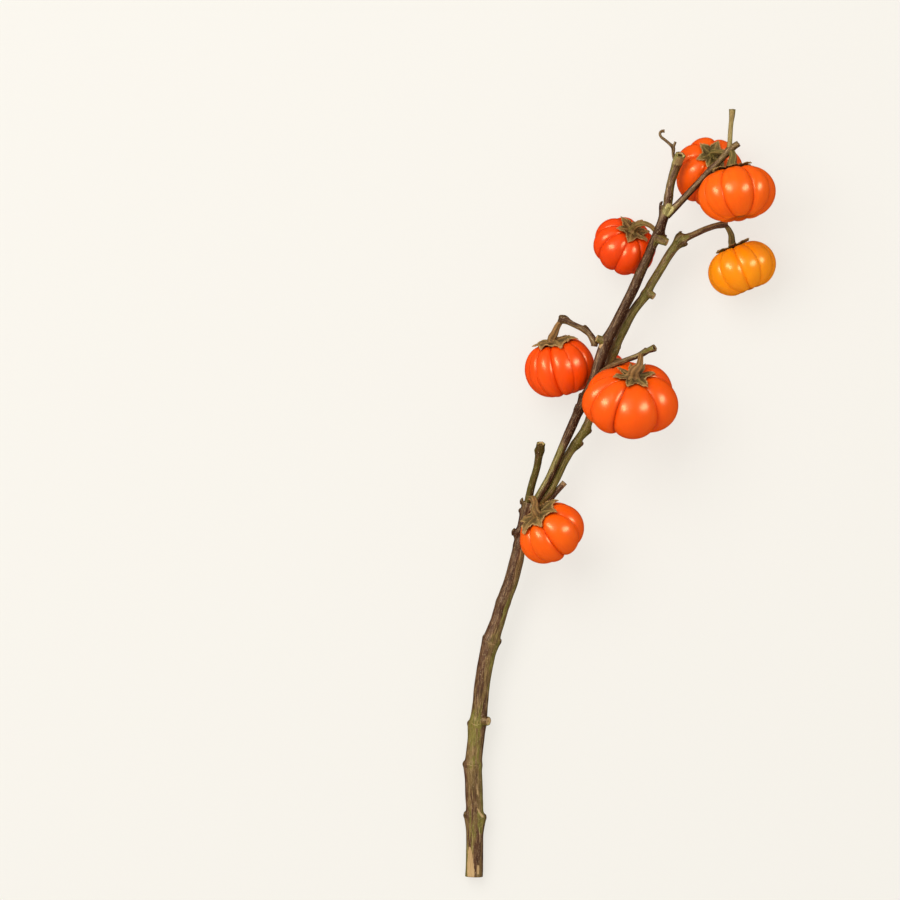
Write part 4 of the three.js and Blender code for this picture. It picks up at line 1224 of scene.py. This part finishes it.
def calyx_material(settings):
    """Dry calyx: khaki brown, with painted shade in its hollows and under its lobes, tan on
    ridges and rims, with fine veins.
    """
    n = Nodes("dry_calyx")
    grain = n.attribute("grain", "Vector")
    fibres = n.noise(grain, (1.1, 3.4, 0.7), 5, 0.65, 0.3)
    patches = n.noise(grain, 0.42, 3, 0.55)
    flecks = n.noise(grain, 2.6, 3, 0.6)
    olive = n.math("ADD", patches, n.math("MULTIPLY", n.attribute("olive"), 0.3))
    colour = n.blend(n.span(olive, 0.48, 0.78), settings.dry_calyx, CALYX_OLIVE)
    colour = n.blend(n.span(flecks, 0.56, 0.68, 0, 0.5), colour, CALYX_FLECK)
    # hollow is painted shade, broken up a little by the flecks.
    hollow = n.math("MULTIPLY", n.attribute("hollow"), n.span(flecks, 0.62, 0.4, 0.45, 1))
    colour = n.blend(n.math("MULTIPLY", hollow, 0.9), colour, settings.calyx_shade)
    light = n.math("MAXIMUM", n.attribute("ridge"), n.attribute("edge"))
    fibrous = n.span(fibres, 0.3, 0.6, 0.35, 0.95)
    colour = n.blend(n.math("MULTIPLY", light, fibrous), colour, settings.calyx_edge)
    darker = n.blend(1.0, colour, DARK_FIBRE, "MULTIPLY")
    colour = n.blend(n.span(fibres, 0.46, 0.28, 0, 0.85), colour, darker)
    return n.finish(
        Base_Color=colour, Roughness=n.span(fibres, 0.3, 0.7, 0.8, 0.6), Specular_IOR_Level=0.15,
        Normal=n.bump(fibres, 0.00025, 0.9),
    )


def skin_material(name, crown, deep, roughness):
    """Fruit skin: a deeper red in the grooves and towards the ribs' sides, partly its own colour
    and partly painted shade, faint streaks from pole to pole, tiny pale pores and a brown scar at
    the blossom end, under a smooth wax."""
    n = Nodes(f"skin_{name}")
    place = n.attribute("skin", "Vector")
    polar = n.attribute("polar")
    streaks = n.noise(place, (7.0, 7.0, 0.8), 4, 0.55)
    clouds = n.noise(place, (1.4, 1.4, 0.9), 3, 0.5)
    coordinates = n.add("ShaderNodeTexCoord").outputs["Object"]
    pores = n.noise(coordinates, 900.0, 2, 0.5)
    swell = n.noise(coordinates, 160.0, 2, 0.5)
    warm = n.math("ADD", n.math("MULTIPLY", clouds, 0.6), n.math("MULTIPLY", streaks, 0.4))
    # Redder towards the ribs' sides and deeper red in the grooves: partly the skin's own colour and
    # partly painted shade.
    warm = n.math("SUBTRACT", warm, n.math("MULTIPLY", n.attribute("side"), 0.1))
    mid = tuple(c * 0.62 + d * 0.38 for c, d in zip(crown, deep))
    colour = n.blend(n.span(warm, 0.3, 0.6), mid, crown)
    colour = n.blend(n.math("MULTIPLY", n.attribute("groove"), 0.45), colour, deep)
    colour = n.blend(n.span(pores, 0.66, 0.74, 0, 0.1), colour, SKIN_PORE)
    colour = n.blend(n.span(polar, 0.85, 0.94), colour, tuple(d * 0.62 for d in deep))
    colour = n.blend(n.span(polar, 0.972, 0.985), colour, BLOSSOM_SCAR)
    return n.finish(
        Base_Color=colour, Roughness=roughness, Specular_IOR_Level=0.5,
        Specular_Tint=(1.0, 0.88, 0.52, 1.0), Subsurface_Weight=0.06,
        Subsurface_Radius=(1.0, 0.25, 0.05), Subsurface_Scale=0.003,
        Normal=n.bump(n.math("ADD", swell, n.math("MULTIPLY", pores, 0.05)), 0.0003, 0.35),
    )


def floor_material(settings):
    """The floor: pale, with a very faint cloudiness."""
    n = Nodes("pale_floor")
    clouds = n.noise(n.add("ShaderNodeTexCoord").outputs["Object"], 1.5, 2, 0.5)
    colour = n.blend(clouds, settings.floor, tuple(c * 0.985 for c in settings.floor))
    return n.finish(
        Base_Color=n.blend(1.0, colour, FLOOR_LIT, "MULTIPLY"), Roughness=1.0,
        Specular_IOR_Level=0.0, Emission_Color=colour, Emission_Strength=settings.floor_glow,
    )


# Operators


class BRANCH_OT_stem(Operator):
    """Builds the woody stem with its bark, buds and cut faces"""

    bl_idname = "branch.stem"
    bl_label = "Stem"

    def execute(self, context):
        settings = context.scene.branch_settings
        shells = stem_shells(settings.bark_step, settings.bark_relief)
        make_piece("bark_stem", shells, bark_material(settings), "bark", "stem")
        return {"FINISHED"}


class BRANCH_OT_fruits(Operator):
    """Builds the ribbed fruits"""

    bl_idname = "branch.fruits"
    bl_label = "Fruits"

    def execute(self, context):
        settings = context.scene.branch_settings
        slots = {part["node"]: part["material_slot"] for part in frame["record"]["subparts"]}
        for seed, (name, fruit) in enumerate(FRUITS.items()):
            material = skin_material(name, fruit.crown, fruit.deep, settings.skin_roughness)
            node = f"fruit_{name}"
            make_piece(f"skin_{name}", [fruit_shell(fruit, seed)], material, slots[node], node)
        return {"FINISHED"}


class BRANCH_OT_calyces(Operator):
    """Builds the dry calyces with their stalks"""

    bl_idname = "branch.calyces"
    bl_label = "Calyces"

    def execute(self, context):
        settings = context.scene.branch_settings
        material = calyx_material(settings)
        for seed, (name, calyx) in enumerate(CALYCES.items()):
            fruit = FRUITS[name]
            shells = [star_shell(fruit, calyx, settings, seed), stalk_shell(fruit, calyx, seed)]
            *olive, pale_rim = CALYX_TONES[name]
            for part, tone in zip(shells, olive):
                part.values["olive"] = np.full(len(part.points), tone)
                part.values["edge"] *= pale_rim
            make_piece(f"star_{name}", shells, material, "dry_calyx", f"calyx_{name}")
        return {"FINISHED"}


def softbox(name, direction, distance, size, power, colour, glossy):
    """An oval light that faces the branch from a direction, and either shines on gloss or lights
    the colours."""
    light = bpy.data.lights.new(name, "AREA")
    light.shape = "ELLIPSE"
    light.size, light.size_y = size
    light.energy = power
    light.color = colour
    lamp = bpy.data.objects.new(name, light)
    lamp.location = LIT_POINT + direction.normalized() * distance
    lamp.rotation_mode = "QUATERNION"
    lamp.rotation_quaternion = direction.to_track_quat("Z", "Y")
    lamp.visible_camera = False
    lamp.visible_diffuse = not glossy
    lamp.visible_glossy = glossy
    bpy.context.scene.collection.objects.link(lamp)


class BRANCH_OT_stage(Operator):
    """Sets the floor, the soft studio light and the camera above the branch"""

    bl_idname = "branch.stage"
    bl_label = "Stage"

    def execute(self, context):
        settings = context.scene.branch_settings
        half = 4.0
        corners = [(-half, -half, 0), (half, -half, 0), (half, half, 0), (-half, half, 0)]
        mesh = bpy.data.meshes.new("floor")
        mesh.from_pydata(corners, [], [(0, 1, 2, 3)])
        mesh.materials.append(floor_material(settings))
        floor = bpy.data.objects.new("floor", mesh)
        context.scene.collection.objects.link(floor)
        floor.visible_glossy = False

        power, shine = settings.softbox_power, tuple(settings.softbox_colour)
        for name, side in (("left", -0.687), ("right", 0.687)):
            direction = Vector((side, 0.342, 0.641))
            softbox(f"softbox_{name}", direction, 1.5, (0.5, 1.05), power, shine, True)
        above = Vector((-0.42, 0.38, 0.8))
        softbox("key", above, 2.2, (2.4, 1.6), settings.key_power, (1, 1, 1), False)

        world = bpy.data.worlds.new("studio")
        world.use_nodes = True
        background = world.node_tree.nodes["Background"]
        background.inputs["Color"].default_value = (1.0, 0.985, 0.96, 1.0)
        background.inputs["Strength"].default_value = settings.sky_strength
        world.cycles_visibility.glossy = False
        context.scene.world = world

        camera = bpy.data.objects.new("camera", bpy.data.cameras.new("camera"))
        distance = 7.0
        camera.data.sensor_width = 36
        camera.data.lens = camera.data.sensor_width * distance / VIEW_WIDTH
        camera.data.clip_end = 40
        camera.location = VIEW_MIDDLE + Vector((0, 0, distance))
        context.scene.collection.objects.link(camera)
        context.scene.camera = camera
        context.scene.view_settings.view_transform = "Standard"
        return {"FINISHED"}


class BRANCH_PT_panel(Panel):
    """Lists the steps that build the branch"""

    bl_label = "Pumpkin tree branch"
    bl_idname = "BRANCH_PT_panel"
    bl_space_type = "VIEW_3D"
    bl_region_type = "UI"
    bl_category = "Branch"

    def draw(self, context):
        for key in BranchSettings.__annotations__:
            self.layout.prop(context.scene.branch_settings, key)
        for operator in OPERATORS:
            self.layout.operator(operator.bl_idname)


OPERATORS = (BRANCH_OT_stem, BRANCH_OT_fruits, BRANCH_OT_calyces, BRANCH_OT_stage)
CLASSES = (BranchSettings, *OPERATORS, BRANCH_PT_panel)


def register():
    """Adds the classes and the settings."""
    for item in CLASSES:
        bpy.utils.register_class(item)
    bpy.types.Scene.branch_settings = PointerProperty(type=BranchSettings)


def unregister():
    """Takes the settings and the classes out again."""
    del bpy.types.Scene.branch_settings
    for item in reversed(CLASSES):
        bpy.utils.unregister_class(item)


def main():
    """Builds the branch and its stage."""
    register()
    bpy.ops.branch.stem()
    bpy.ops.branch.fruits()
    bpy.ops.branch.calyces()
    bpy.ops.branch.stage()


if __name__ == "__main__":
    main()
